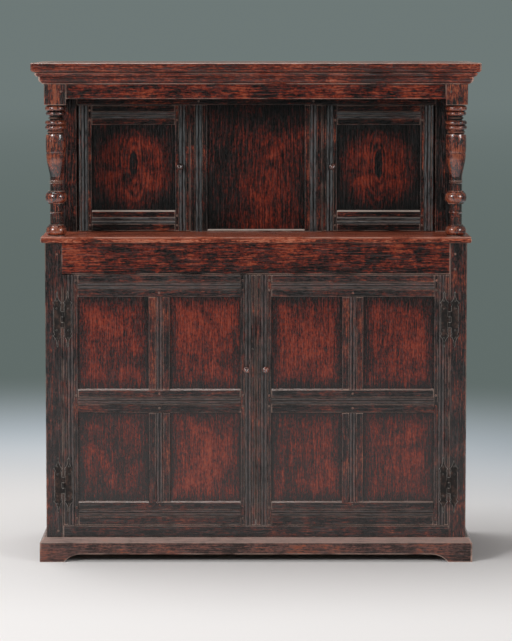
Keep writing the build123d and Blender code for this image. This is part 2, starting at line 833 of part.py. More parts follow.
def turned_knob(shank_radius, shank_length):
    """A turned knob on the z axis: collar at z = 0, knob above, shank below."""
    head_low = knob_projection - knob_head_height
    head_high = knob_projection - knob_eye_depth
    pull = knob_neck_radius + (knob_radius - knob_neck_radius) * 4 / 3
    outline = [
        Polyline(
            (0, -shank_length), (shank_radius, -shank_length), (shank_radius, 0), (knob_collar_radius, 0),
            (knob_collar_radius, knob_collar_height),
            (knob_neck_radius, knob_collar_height + knob_neck_rise), (knob_neck_radius, head_low),
        ),
        Bezier(
            (knob_neck_radius, head_low), (pull, head_low), (pull, head_high), (knob_neck_radius, head_high)
        ),
        Polyline(
            (knob_neck_radius, head_high), (knob_eye_radius, knob_projection),
            (knob_eye_radius / 2, head_high), (0, head_high), (0, -shank_length),
        ),
    ]
    return revolve(Plane.XZ * make_face(outline), Axis.Z)


def knob_on_face(x, y, z, shank_radius, shank_length):
    """A knob that stands out of a front face."""
    return Pos(x, y, z) * Rot(90, 0, 0) * turned_knob(shank_radius, shank_length)


lower_knob = knob_on_face(knob_x, 0, lower_knob_height, knob_shank_radius, knob_shank_length)
nodes["left_door_knob"] = [lower_knob]
nodes["right_door_knob"] = mirrored([lower_knob])

# ---- Turned columns, each in one piece with its square block ----
column_x = -half_width + column_block / 2
column_y = column_block / 2
turned_height = block_low - shelf_top
fixed_turnings = (
    foot_height + foot_ring_height + 3 * fillet_height
    + low_shaft_height + shaft_line_height + shaft_ring_height + middle_shaft_height
    + great_ring_height + neck_height + twin_ring_height + vase_neck_height
    + body_line_height + body_height + 2 * collar_gap_height + collar_ring_height
    + 2 * pair_ring_height + 2 * bead_gap_height + bead_height
    + second_ring_height + top_ring_height + top_fillet_height
)
vase_height = turned_height - fixed_turnings


class Turning:
    """The edge of a turned piece, built upwards from its foot."""

    def __init__(self, z):
        self.z = z
        self.r = 0
        self.edges = []

    def step(self, radius):
        """A level step to another radius."""
        if radius != self.r:
            self.edges.append(Line((self.r, self.z), (radius, self.z)))
            self.r = radius

    def straight(self, height, radius):
        """A straight run up to a radius."""
        self.edges.append(Line((self.r, self.z), (radius, self.z + height)))
        self.z += height
        self.r = radius

    def swell(self, height, radius, low_swell, high_swell, shoulder):
        """A round run up to a radius, pulled out from its straight line near its foot and its head."""
        rise = radius - self.r
        self.edges.append(
            Bezier(
                (self.r, self.z),
                (self.r + rise * shoulder + low_swell, self.z + height * shoulder),
                (radius - rise * shoulder + high_swell, self.z + height * (1 - shoulder)),
                (radius, self.z + height),
            )
        )
        self.z += height
        self.r = radius

    def ring(self, height, middle, radius):
        """A full round ring that stands out to a radius at half its height."""
        out = (middle - (self.r + radius) / 2) * 4 / 3
        self.swell(height, radius, out, out, ring_shoulder)

    def torus(self, height, middle):
        """A blunt round ring; its edges stand back from its middle by the ring bulge or half its height."""
        edge = middle - min(ring_bulge, height / 2)
        self.step(edge)
        self.ring(height, middle, edge)

    def cusp(self, height, middle):
        """A small ring of two slopes that rises from the radius it stands on."""
        foot = self.r
        self.straight(height / 2, middle)
        self.straight(height / 2, foot)

    def drum(self, height, radius):
        """A straight stretch of one radius."""
        self.step(radius)
        self.straight(height, radius)

    def line(self, height, depth):
        """A cut line: a small V groove."""
        radius = self.r
        self.straight(height / 2, radius - depth)
        self.straight(height / 2, radius)

    def solid(self, z_low):
        """The turned piece, closed along its axis."""
        self.step(0)
        self.edges.append(Line((0, self.z), (0, z_low)))
        return revolve(Plane.XZ * make_face(self.edges), Axis.Z)


turning = Turning(shelf_top)
turning.drum(foot_height, foot_radius)
turning.torus(foot_ring_height, foot_ring_radius)
turning.drum(fillet_height, foot_ring_radius - ring_bulge)
turning.drum(low_shaft_height * 2 / 3, shaft_radius)
turning.line(shaft_line_height, shaft_line_depth)
turning.straight(low_shaft_height / 3, shaft_radius)
turning.cusp(shaft_ring_height, small_ring_radius)
turning.drum(middle_shaft_height, shaft_radius)
turning.drum(fillet_height, great_ring_radius - ring_bulge)
turning.torus(great_ring_height, great_ring_radius)
turning.drum(fillet_height, great_ring_radius - ring_bulge)
turning.drum(neck_height, shaft_radius)
for _ in range(2):
    turning.cusp(twin_ring_height / 2, small_ring_radius)
turning.drum(vase_neck_height, shaft_radius)
turning.swell(vase_height, body_radius - body_swell, 0, vase_swell, vase_shoulder)
turning.line(body_line_height, shaft_line_depth)
turning.ring(body_height, body_radius, body_radius - body_swell)
turning.drum(collar_gap_height, waist_radius)
turning.cusp(collar_ring_height, collar_ring_radius)
turning.drum(collar_gap_height, waist_radius)
for _ in range(2):
    turning.torus(pair_ring_height, great_ring_radius)
turning.drum(bead_gap_height, shaft_radius)
turning.cusp(bead_height, bead_radius)
turning.drum(bead_gap_height, shaft_radius)
turning.torus(second_ring_height, second_ring_radius)
turning.torus(top_ring_height, great_ring_radius)
turning.drum(top_fillet_height, waist_radius)
column = Pos(column_x, column_y, 0) * turning.solid(shelf_top)
column += upright(-half_width, -half_width + column_block, block_low, top_board_low, column_block)
column += cylinder_z(column_x, column_y, shelf_top - dowel_length, shelf_top, dowel_radius)

# ---- Upper stage: frieze rails between the blocks, the corner posts and the front ----
block_inner = half_width - column_block
block_tenon_length = column_block - panel_recess - groove_width - mortise_web - rail_tenon_thickness
upper_frieze_tenons = front_rail_tenons(upper_frieze_low, top_board_low, block_inner, block_tenon_length)
nodes["upper_frieze_rail"] = [
    with_tenons(
        rail(-block_inner, block_inner, upper_frieze_low, top_board_low, carcass_rail_thickness),
        upper_frieze_tenons,
    )
]
corner_tenon_length = (corner_post_depth - mortise_web) / 2
frieze_side_length = recess_depth - column_block
side_frieze_tenons = [
    (x0, x1, panel_recess, panel_recess + rail_tenon_thickness, z0, z1)
    for x0, x1, _, _, z0, z1 in rail_tenons(
        0, frieze_side_length, upper_frieze_low, top_board_low, corner_tenon_length
    )
]
left_frieze_side = Pos(-half_width, recess_depth, 0) * Rot(0, 0, -90)
frieze_side_rail = left_frieze_side * with_tenons(
    rail(0, frieze_side_length, upper_frieze_low, top_board_low, carcass_rail_thickness), side_frieze_tenons
)
frieze_side_pockets = [left_frieze_side * mortise(*place) for place in side_frieze_tenons]
nodes["frieze_side_rails"] = [frieze_side_rail] + mirrored([frieze_side_rail])

column = without_pockets(column, upper_frieze_tenons) - frieze_side_pockets
nodes["left_column"] = [column]
nodes["right_column"] = mirrored([column])

# ---- Upper stage: side frames behind the recess ----
corner_post_back = recess_depth + corner_post_depth
upper_side_length = back_post_face - corner_post_back
upper_side_place = Pos(-half_width, back_post_face, 0) * Rot(0, 0, -90)
upper_side_rail_top = shelf_top + upper_bottom_rail_height
upper_side_rails = []
upper_side_tenons = []
for low, high, arrises, grooves in [
    (shelf_top, upper_side_rail_top, (small_arris, sill_chamfer), (False, True)),
    (head_rail_low, top_board_low, (panel_arris, small_arris), (True, False)),
]:
    ends = rail_tenons(0, upper_side_length, low, high, corner_tenon_length)
    upper_side_tenons += ends
    member = rail(
        0, upper_side_length, low, high, side_thickness, moulded=True, arrises=arrises, grooves=grooves
    )
    upper_side_rails.append(upper_side_place * with_tenons(member, ends))
upper_side_panel = upper_side_place * panel(0, upper_side_length, upper_side_rail_top, head_rail_low)
upper_side_pockets = [upper_side_place * mortise(*place) for place in upper_side_tenons]
nodes["upper_side_rails"] = upper_side_rails + mirrored(upper_side_rails)
nodes["side_panels"] = (
    left_side_panels + mirrored(left_side_panels) + [upper_side_panel] + mirrored([upper_side_panel])
)

# ---- Upper stage: recessed front ----
corner_inner = half_width - corner_post_width
muntin_inner = centre_panel_width / 2
muntin_outer = muntin_inner + fixed_muntin_width
to_recess = Pos(0, recess_depth, 0)
head_tenon_length = corner_post_width - panel_recess - groove_width - mortise_web - side_thickness
head_rail_tenons = [
    (x0, x1, y0 + recess_depth, y1 + recess_depth, z0, z1)
    for x0, x1, y0, y1, z0, z1 in front_rail_tenons(
        head_rail_low, top_board_low, corner_inner, head_tenon_length
    )
]

corner_post = to_recess * upright(
    -half_width, -corner_inner, shelf_top, top_board_low, corner_post_depth,
    arrises=(small_arris, panel_arris),
)
corner_post -= block(
    side_groove_outer, side_groove_inner,
    corner_post_back - groove_depth, corner_post_back, shelf_top, top_board_low,
)
corner_post = without_pockets(corner_post, head_rail_tenons)
corner_post = corner_post - upper_side_pockets - frieze_side_pockets
corner_stub = stub_tenon(-half_width, -corner_inner, recess_depth, corner_post_back, shelf_top)
corner_post += block(*corner_stub)
nodes["left_corner_post"] = [corner_post]
nodes["right_corner_post"] = mirrored([corner_post])

fixed_muntin = upright(
    -muntin_outer, -muntin_inner, shelf_top, head_rail_low, door_thickness,
    moulded=True, arrises=(small_arris, panel_arris), grooves=(False, True),
)
_, muntin_head = muntin_tenons(-muntin_outer, -muntin_inner, shelf_top, head_rail_low, muntin_tenon_length)
fixed_muntin = to_recess * with_tenons(fixed_muntin, [muntin_head])
muntin_stub = stub_tenon(
    -muntin_outer, -muntin_inner, recess_depth, recess_depth + panel_recess + groove_width, shelf_top
)
fixed_muntin += block(*muntin_stub)
nodes["fixed_muntins"] = [fixed_muntin] + mirrored([fixed_muntin])

pivot_x = -corner_inner + upper_door_side_gap + door_thickness / 2
pivot_y = recess_depth + door_thickness / 2
upper_door_low = shelf_top + door_end_gap
upper_door_high = head_rail_low - door_end_gap
pivot_hole_radius = pivot_radius + pin_clearance
low_pivot = (shelf_top - pivot_shelf_depth, upper_door_low + pivot_depth)
high_pivot = (upper_door_high - pivot_depth, head_rail_low + pivot_depth)
pivot_pins = [cylinder_z(pivot_x, pivot_y, *span, pivot_radius) for span in (low_pivot, high_pivot)]
pivot_holes = [
    cylinder_z(pivot_x, pivot_y, span[0] - joint_clearance, span[1] + joint_clearance, pivot_hole_radius)
    for span in (low_pivot, high_pivot)
]
nodes["upper_door_pivots"] = pivot_pins + mirrored(pivot_pins)

head_rail = to_recess * rail(
    -corner_inner, corner_inner, head_rail_low, top_board_low, carcass_rail_thickness,
    arrises=(panel_arris, small_arris),
)
head_rail -= block(
    -muntin_inner, muntin_inner,
    recess_depth + panel_recess, recess_depth + panel_recess + groove_width,
    head_rail_low, head_rail_low + groove_depth,
)
head_rail -= [to_recess * mortise(*muntin_head)] + mirrored([to_recess * mortise(*muntin_head)])
head_rail -= pivot_holes + mirrored(pivot_holes)
nodes["head_rail"] = [with_tenons(head_rail, head_rail_tenons)]

centre_panel_front = recess_depth + panel_recess
nodes["centre_panel"] = [
    block(
        -muntin_inner - panel_tongue, muntin_inner + panel_tongue,
        centre_panel_front, centre_panel_front + panel_edge_thickness, shelf_top, head_rail_low,
    )
    + block(
        -muntin_inner + joint_clearance, muntin_inner - joint_clearance,
        centre_panel_front, centre_panel_front + panel_edge_thickness,
        head_rail_low, head_rail_low + panel_tongue,
    )
]
centre_sill = block(
    -muntin_inner, muntin_inner, recess_depth, centre_panel_front,
    shelf_top, shelf_top + centre_sill_height,
)
sill_edge = centre_sill.edges().filter_by(Axis.X).sort_by(lambda edge: edge.center().Z - edge.center().Y)[-1]
nodes["centre_sill"] = [chamfer(sill_edge, centre_sill_chamfer)]

# ---- Upper stage: back posts, rail and boards ----
upper_back_rail = (top_board_low - back_rail_height, top_board_low)
upper_back_post = back_post(shelf_top, top_board_low, back_rail_tenons(*upper_back_rail))
upper_back_post -= upper_side_pockets
back_stub = stub_tenon(
    -half_width, -back_rebate_inner, back_post_face + groove_depth, carcass_depth, shelf_top
)
upper_back_post += block(*back_stub)
back_posts = [lower_back_post, upper_back_post]
nodes["back_posts"] = back_posts + mirrored(back_posts)
nodes["upper_back_rail"] = [back_rail(*upper_back_rail)]
upper_back_boards = boards(
    -back_board_half, back_board_half, back_board_count,
    back_board_face, carcass_depth, shelf_top, top_board_low,
)
nodes["back_boards"] = lower_back_boards + upper_back_boards

# ---- Middle shelf: one board with a moulded nose on the front and both ends ----
nose_bead = middle_shelf_thickness * nose_bead_share
nose_step = middle_shelf_thickness * nose_step_share


def nose():
    """The moulded nose from the top of the shelf down, as on the front or the left end."""
    out = shelf_overhang
    ledge = Polyline(
        (out - 2 * nose_step, middle_shelf_thickness), (out - nose_step, middle_shelf_thickness - nose_step),
        (out - nose_step, nose_bead + nose_step), (out - 3 * nose_step, nose_bead),
    )
    bead = ThreePointArc(ledge @ 1, (out, nose_bead / 2), (out - 3 * nose_step, 0))
    return [ledge, bead]


front_nose = nose()
shelf_section = make_face(
    front_nose
    + [
        Polyline(
            front_nose[1] @ 1, (-carcass_depth, 0),
            (-carcass_depth, middle_shelf_thickness), front_nose[0] @ 0,
        )
    ]
)
shelf_out = half_width + shelf_overhang
shelf_start = Plane(origin=(shelf_out, 0, lower_stage_top), x_dir=(0, -1, 0), z_dir=(-1, 0, 0))
shelf_long = extrude(shelf_start * shelf_section, 2 * shelf_out, dir=(-1, 0, 0))
left_nose = [Pos(half_width, 0) * edge for edge in front_nose]
right_nose = [mirror(edge, about=Plane.YZ) for edge in left_nose]
across = make_face(
    left_nose
    + right_nose
    + [Line(left_nose[0] @ 0, right_nose[0] @ 0), Line(left_nose[1] @ 1, right_nose[1] @ 1)]
)
across_start = Plane(origin=(0, -shelf_overhang, lower_stage_top), x_dir=(-1, 0, 0), z_dir=(0, 1, 0))
shelf_cross = extrude(across_start * across, carcass_depth + shelf_overhang, dir=(0, 1, 0))
middle_shelf = shelf_long & shelf_cross
dowel_hole = cylinder_z(
    column_x, column_y, shelf_top - dowel_length - joint_clearance, shelf_top, dowel_radius + pin_clearance
)
stub_mortises = [mortise(*place) for place in (corner_stub, muntin_stub, back_stub)]
left_shelf_cuts = [dowel_hole, pivot_holes[0]] + stub_mortises
nodes["middle_shelf"] = [middle_shelf - left_shelf_cuts - mirrored(left_shelf_cuts)]

# ---- Upper doors: one panel each, hung on pivot pins ----
upper_door_left = pivot_x - door_thickness / 2
upper_door_right = -muntin_outer - upper_door_meeting_gap
upper_hinge_inner = upper_door_left + upper_stile_width
upper_meeting_inner = upper_door_right - upper_stile_width
upper_low_rail_top = upper_door_low + upper_low_rail_height
upper_top_rail_low = upper_door_high - upper_top_rail_height
upper_door_rails = []
upper_rail_tenons = []
for low, high, arrises, grooves in [
    (upper_door_low, upper_low_rail_top, (small_arris, sill_chamfer), (False, True)),
    (upper_top_rail_low, upper_door_high, (panel_arris, small_arris), (True, False)),
]:
    ends = rail_tenons(
        upper_hinge_inner, upper_meeting_inner, low, high, upper_stile_width - door_thickness
    )
    upper_rail_tenons += ends
    member = rail(
        upper_hinge_inner, upper_meeting_inner, low, high, door_thickness,
        moulded=True, arrises=arrises, grooves=grooves,
    )
    upper_door_rails.append(to_recess * with_tenons(member, ends))

round_edge = cylinder_z(pivot_x, door_thickness / 2, upper_door_low, upper_door_high, door_thickness / 2)
square_part = block(pivot_x, upper_hinge_inner, 0, door_thickness, upper_door_low, upper_door_high)
upper_hinge_stile = upright(
    upper_door_left, upper_hinge_inner, upper_door_low, upper_door_high, door_thickness,
    moulded=True, arrises=(small_arris, panel_arris), grooves=(False, True),
) & (round_edge + square_part)
upper_hinge_stile = to_recess * without_pockets(upper_hinge_stile, upper_rail_tenons) - pivot_holes

upper_knob_x = upper_door_right - upper_knob_setback
upper_knob_z = shelf_top + upper_knob_height
upper_meeting_stile = upright(
    upper_meeting_inner, upper_door_right, upper_door_low, upper_door_high, door_thickness,
    moulded=True, arrises=(panel_arris, small_arris), grooves=(True, False),
)
spindle_hole = cylinder_y(
    upper_knob_x, upper_knob_z, -cut_past, door_thickness + cut_past, spindle_radius + pin_clearance
)
upper_meeting_stile = to_recess * (without_pockets(upper_meeting_stile, upper_rail_tenons) - spindle_hole)
upper_stiles = [upper_hinge_stile, upper_meeting_stile]
upper_panel = to_recess * panel(
    upper_hinge_inner, upper_meeting_inner, upper_low_rail_top, upper_top_rail_low
)
nodes["upper_left_door_stiles"] = upper_stiles
nodes["upper_right_door_stiles"] = mirrored(upper_stiles)
nodes["upper_left_door_rails"] = upper_door_rails
nodes["upper_right_door_rails"] = mirrored(upper_door_rails)
nodes["upper_left_door_panel"] = [upper_panel]
nodes["upper_right_door_panel"] = mirrored([upper_panel])

# ---- Upper knobs on spindles, with a turn button behind that catches the fixed muntin ----
button_front = recess_depth + door_thickness + button_gap
button_back = button_front + button_thickness
spindle_length = door_thickness + button_gap + button_thickness
upper_knob = knob_on_face(upper_knob_x, recess_depth, upper_knob_z, spindle_radius, spindle_length)
button_arm = block(
    upper_knob_x - button_width / 2, upper_knob_x + button_width / 2,
    button_front, button_back, upper_knob_z - button_reach + button_width / 2, upper_knob_z,
)
button_arm += cylinder_y(
    upper_knob_x, upper_knob_z - button_reach + button_width / 2, button_front, button_back, button_width / 2
)
button_arm += cylinder_y(upper_knob_x, upper_knob_z, button_front, button_back, button_hub_radius)
button_arm -= cylinder_y(
    upper_knob_x, upper_knob_z, button_front - cut_past, button_back + cut_past,
    spindle_radius + pin_clearance,
)
nodes["upper_left_knob"] = [upper_knob]
nodes["upper_right_knob"] = mirrored([upper_knob])
nodes["left_turn_button"] = [button_arm]
nodes["right_turn_button"] = mirrored([button_arm])

# ---- Cornice and top boards ----
bead_top = cornice_height - fascia_height - fascia_cove
bead_low = bead_top - cornice_bead_height
cornice_foot = Polyline((0, 0), (cornice_foot_projection, 0), (cornice_foot_projection, cornice_arris))
cornice_ogee = ThreePointArc(
    cornice_foot @ 1,
    (
        (cornice_foot_projection + cornice_low_projection) / 2 + cornice_swell,
        cornice_low_height * curve_share,
    ),
    (cornice_low_projection, cornice_low_height),
)
cornice_step = Polyline(
    cornice_ogee @ 1, (cornice_low_projection, bead_low),
    (cornice_bead_projection - cornice_bead_height / 2, bead_low),
)
cornice_bead = ThreePointArc(
    cornice_step @ 1,
    (cornice_bead_projection - cornice_arris / 2, bead_low + cornice_bead_height * curve_share),
    (cornice_bead_projection, bead_top - cornice_arris),
)
cornice_groove = Polyline(
    cornice_bead @ 1, (cornice_bead_projection - cornice_quirk, bead_top),
    (cornice_bead_projection + cornice_arris / 2, bead_top),
)
fascia_curve = ThreePointArc(
    cornice_groove @ 1,
    (cornice_projection - cornice_cove, bead_top + fascia_cove * curve_share),
    (cornice_projection, bead_top + fascia_cove),
)
cornice_top = Polyline(
    fascia_curve @ 1, (cornice_projection, cornice_height - cornice_arris),
    (cornice_projection - cornice_arris, cornice_height), (0, cornice_height), (0, 0),
)
cornice_section = make_face(
    [cornice_foot, cornice_ogee, cornice_step, cornice_bead, cornice_groove, fascia_curve, cornice_top]
)
nodes["cornice_front"] = [front_moulding(cornice_section, cornice_projection, cornice_low)]
cornice_left = left_moulding(cornice_section, cornice_projection, cornice_low)
nodes["cornice_sides"] = [cornice_left] + mirrored([cornice_left])

board_pitch = (carcass_depth + board_gap) / top_board_count
nodes["top_boards"] = [
    block(
        -half_width, half_width, i * board_pitch, (i + 1) * board_pitch - board_gap,
        top_board_low, cupboard_top,
    )
    for i in range(top_board_count)
]

# ---- Export, with the origin in the middle of the footprint ----
to_origin = Pos(0, (cornice_projection - carcass_depth) / 2, 0)
for name, pieces in nodes.items():
    solids = [solid for piece in pieces for solid in (to_origin * piece).solids()]
    shape = solids[0] if len(solids) == 1 else Compound(children=solids)
    export_step(shape, f"parts/{name}.step")
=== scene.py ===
import math
import random

import bpy
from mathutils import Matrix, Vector


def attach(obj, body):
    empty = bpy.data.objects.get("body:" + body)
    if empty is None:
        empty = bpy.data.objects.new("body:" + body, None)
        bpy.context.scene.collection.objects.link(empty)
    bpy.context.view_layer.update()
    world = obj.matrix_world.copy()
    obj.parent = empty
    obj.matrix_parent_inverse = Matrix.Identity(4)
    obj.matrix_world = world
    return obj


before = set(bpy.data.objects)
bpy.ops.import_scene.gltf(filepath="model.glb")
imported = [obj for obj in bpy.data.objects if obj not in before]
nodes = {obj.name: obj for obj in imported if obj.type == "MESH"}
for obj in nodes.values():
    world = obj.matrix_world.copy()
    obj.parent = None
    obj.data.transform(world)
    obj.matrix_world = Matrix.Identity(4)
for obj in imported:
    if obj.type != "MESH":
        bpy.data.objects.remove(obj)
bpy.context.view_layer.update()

# ---- Studio ----
# A plain floor, painted pale in a pool round the cupboard's feet, cooler and darker in a ring beyond,
# and fading into a grey-green dusk: a painted fall-off of the studio light, as on a swept paper backdrop.
# Beyond the pool the floor and the air have one colour.
pool_radius, dusk_radius, dusk_depth = 3.3, 6.0, 60.0
pool_centre = (-0.70, -1.35, 0.0)
# Between these distances the floor turns from white to a cooler, darker grey: painted shade where the light
# thins out.
cool_shade_reach = (2.1, 4.3)
floor_white = (0.83, 0.81, 0.80, 1)
floor_cool_shade = (0.60, 0.67, 0.73, 1)
dusk_near = (0.118, 0.148, 0.140, 1)
dusk_far = (0.155, 0.190, 0.185, 1)
dusk_matt = (0.12, 0.14, 0.14, 1)
floor_half = 900.0

floor_corners = [(x * floor_half, y * floor_half, 0) for x, y in ((-1, -1), (1, -1), (1, 1), (-1, 1))]
floor_mesh = bpy.data.meshes.new("floor")
floor_mesh.from_pydata(floor_corners, [], [(0, 1, 2, 3)])
floor = bpy.data.objects.new("floor", floor_mesh)
bpy.context.scene.collection.objects.link(floor)


class Finish:
    """A material that is built up from nodes, one coat at a time."""

    def __init__(self, name):
        self.material = bpy.data.materials.new(name)
        self.material.use_nodes = True
        self.tree = self.material.node_tree
        self.shader = self.tree.nodes["Principled BSDF"]
        self.out = self.tree.nodes["Material Output"]
        self.place = self.add("ShaderNodeTexCoord").outputs["Object"]

    def add(self, kind, **settings):
        """A new node, with its settings."""
        node = self.tree.nodes.new(kind)
        for name, value in settings.items():
            setattr(node, name, value)
        return node

    def feed(self, socket, value):
        """A socket gets a link or a plain value."""
        if isinstance(value, bpy.types.NodeSocket):
            self.tree.links.new(value, socket)
        else:
            socket.default_value = value

    def sum(self, operation, *values):
        """One step of arithmetic."""
        node = self.add("ShaderNodeMath", operation=operation)
        for socket, value in zip(node.inputs, values):
            self.feed(socket, value)
        return node.outputs[0]

    def graded(self, value, low, high):
        """0 below the low value, 1 above the high one, and a soft turn between."""
        node = self.add("ShaderNodeMapRange", interpolation_type="SMOOTHSTEP")
        self.feed(node.inputs["Value"], value)
        node.inputs["From Min"].default_value = low
        node.inputs["From Max"].default_value = high
        return node.outputs["Result"]

    def blend(self, amount, first, second):
        """The second colour over the first."""
        node = self.add("ShaderNodeMix", data_type="RGBA")
        self.feed(node.inputs["Factor"], amount)
        self.feed(node.inputs[6], first)
        self.feed(node.inputs[7], second)
        return node.outputs[2]

    def spread(self, scale, shift=(0, 0, 0)):
        """The piece's own coordinates, stretched and shifted."""
        node = self.add("ShaderNodeMapping")
        self.feed(node.inputs["Vector"], self.place)
        node.inputs["Location"].default_value = shift
        node.inputs["Scale"].default_value = scale
        return node.outputs[0]


paper = Finish("backdrop_paper")
centred = paper.spread((1, 1, 0), shift=tuple(-c for c in pool_centre))
reach = paper.add("ShaderNodeVectorMath", operation="LENGTH")
paper.feed(reach.inputs[0], centred)
distance = reach.outputs["Value"]
# Pale pool, cooler ring and dusk are painted by distance from the pool's middle: a painted fall-off of the
# light.
dusk = paper.graded(distance, pool_radius, dusk_radius)
far = paper.graded(distance, dusk_radius, dusk_depth)
dusk_colour = paper.blend(far, dusk_near, dusk_far)
# To the camera and in reflections the dusk glows with its own colour, a painted dimness with no lamp behind
# it; to other light it is a dark matt paper.
seen = paper.add("ShaderNodeLightPath")
shown = paper.sum("MAXIMUM", seen.outputs["Is Camera Ray"], seen.outputs["Is Glossy Ray"])
shown = paper.sum("MAXIMUM", shown, seen.outputs["Is Transmission Ray"])
glow = paper.add("ShaderNodeEmission")
paper.feed(glow.inputs["Color"], dusk_colour)
matt = paper.add("ShaderNodeBsdfDiffuse")
matt.inputs["Color"].default_value = dusk_matt
dusk_mix = paper.add("ShaderNodeMixShader")
pale = paper.add("ShaderNodeBsdfDiffuse")
paper.feed(pale.inputs["Color"], paper.blend(paper.graded(distance, *cool_shade_reach), floor_white, floor_cool_shade))
floor_mix = paper.add("ShaderNodeMixShader")
for mix, amount, first, second in ((dusk_mix, shown, matt, glow), (floor_mix, dusk, pale, dusk_mix)):
    paper.feed(mix.inputs[0], amount)
    paper.feed(mix.inputs[1], first.outputs[0])
    paper.feed(mix.inputs[2], second.outputs[0])
paper.feed(paper.out.inputs["Surface"], floor_mix.outputs[0])
floor.data.materials.append(paper.material)

# The air above the horizon: the same dusk for what is seen, and a weak even light for the rest.
air_white = (1.0, 0.98, 0.96, 1)
air_strength = 0.16
world = bpy.data.worlds.new("studio_air")
bpy.context.scene.world = world
world.use_nodes = True
air = world.node_tree
air_out = air.nodes["World Output"]
air_seen = air.nodes["Background"]
air_seen.inputs["Color"].default_value = dusk_far
air_light = air.nodes.new("ShaderNodeBackground")
air_light.inputs["Color"].default_value = air_white
air_light.inputs["Strength"].default_value = air_strength
air_path = air.nodes.new("ShaderNodeLightPath")
air_shown, air_clear = air.nodes.new("ShaderNodeMath"), air.nodes.new("ShaderNodeMath")
air_shown.operation = air_clear.operation = "MAXIMUM"
air_mix = air.nodes.new("ShaderNodeMixShader")
for output, socket in (
    (air_path.outputs["Is Camera Ray"], air_shown.inputs[0]),
    (air_path.outputs["Is Glossy Ray"], air_shown.inputs[1]),
    (air_shown.outputs[0], air_clear.inputs[0]),
    (air_path.outputs["Is Transmission Ray"], air_clear.inputs[1]),
    (air_clear.outputs[0], air_mix.inputs[0]),
    (air_light.outputs[0], air_mix.inputs[1]),
    (air_seen.outputs[0], air_mix.inputs[2]),
    (air_mix.outputs[0], air_out.inputs["Surface"]),
):
    air.links.new(output, socket)

# Soft boxes: a stronger one from the left front, one from the right front and one overhead.
for name, place, aim, size, power in [
    ("soft_box_left", (-4.4, -4.8, 3.3), (0.1, -0.2, 0.8), 1.9, 215),
    ("soft_box_right", (4.9, -4.4, 2.6), (-0.1, -0.2, 0.8), 1.7, 120),
    ("soft_box_top", (-1.0, 0.4, 6.0), (0.0, 0.2, 0.0), 3.2, 240),
]:
    lamp = bpy.data.lights.new(name, "AREA")
    lamp.shape = "SQUARE"
    lamp.size = size
    lamp.energy = power
    box = bpy.data.objects.new(name, lamp)
    box.location = place
    box.rotation_euler = (Vector(aim) - Vector(place)).to_track_quat("-Z", "Y").to_euler()
    bpy.context.scene.collection.objects.link(box)

# The camera stands well back at about a standing height, level enough to keep the posts upright.
camera_place = (0.0, -9.0, 1.752)
camera_dip = 4.54
camera_data = bpy.data.cameras.new("camera")
camera_data.lens = 149.9
camera_data.sensor_width = 36
camera_data.shift_y = -0.12
camera_data.clip_end = 3000
camera = bpy.data.objects.new("camera", camera_data)
camera.location = camera_place
camera.rotation_euler = (math.radians(90 - camera_dip), 0, 0)
bpy.context.scene.collection.objects.link(camera)
bpy.context.scene.camera = camera
bpy.context.scene.view_settings.view_transform = "Standard"

# ---- Framing: posts, rails, stiles and muntins ----
# Riven oak, planed and scratch-moulded, pinned with pegs, then polished and smoked almost black.
# Handling has rubbed the polish through to red in long streaks and to bare pale wood on the arrises.
polish_black = (0.0035, 0.0026, 0.0025, 1)
polish_brown = (0.0210, 0.0115, 0.0100, 1)
rubbed_red = (0.0620, 0.0130, 0.0100, 1)
clear_red = (0.1800, 0.0270, 0.0120, 1)
bare_orange = (0.3000, 0.0800, 0.0360, 1)
bare_edge = (0.4300, 0.2900, 0.2350, 1)
old_wax_and_sheen = (0.0900, 0.0860, 0.0860, 1)
framing_colours = (polish_black, polish_brown, rubbed_red, clear_red, bare_orange)
along_grain = {"X": (1, 22, 22), "Y": (22, 1, 22), "Z": (22, 22, 1)}
speck_shape = {"X": (0.45, 1, 1), "Y": (1, 0.45, 1), "Z": (1, 1, 0.45)}
veil_shift = (3, 5, 7)
arris_reach = 0.0045
# How fine each layer of the figure is, from the broad flames to the specks.
flame_scale, streak_scale, hair_scale, pore_scale, speck_scale, veil_scale = 7, 16, 40, 52, 190, 12
# How deep under the plain face each part of the scratch moulding begins and ends, in metres.
bead_top, bead_foot = (0.0001, 0.0003), (0.0009, 0.0018)
quirk_side, quirk_floor = (0.0010, 0.0021), (0.0026, 0.0034)


class AgedFinish(Finish):
    """A finish with the marks of use: cloudy figure, grime and painted shade in hollows, bare arrises and
    relief.
    """

    def noise(self, vector, scale, detail=2.0, roughness=0.5, distortion=0.0):
        """Cloudy variation from 0 to 1."""
        node = self.add("ShaderNodeTexNoise")
        self.feed(node.inputs["Vector"], vector)
        node.inputs["Scale"].default_value = scale
        node.inputs["Detail"].default_value = detail
        node.inputs["Roughness"].default_value = roughness
        node.inputs["Distortion"].default_value = distortion
        return node.outputs["Fac"]

    def fading(self, value, low, high):
        """1 below the low value, 0 above the high one, and a soft turn between."""
        return self.sum("SUBTRACT", 1.0, self.graded(value, low, high))

    def split(self, vector=None):
        """The X, Y and Z of a vector, or of the point on the piece where none is given."""
        node = self.add("ShaderNodeSeparateXYZ")
        self.feed(node.inputs[0], vector or self.place)
        return tuple(node.outputs)

    def openness(self, reach, inside=False):
        """1 in the open, less in a hollow; looked at from inside the piece, less at an arris."""
        node = self.add("ShaderNodeAmbientOcclusion", samples=8, inside=inside, only_local=inside)
        node.inputs["Distance"].default_value = reach
        return node.outputs["AO"]

    def relief(self, height, strength, depth):
        """The surface itself rises and falls a little with the height."""
        bump = self.add("ShaderNodeBump")
        bump.inputs["Strength"].default_value = strength
        bump.inputs["Distance"].default_value = depth
        self.feed(bump.inputs["Height"], height)
        self.feed(self.shader.inputs["Normal"], bump.outputs[0])


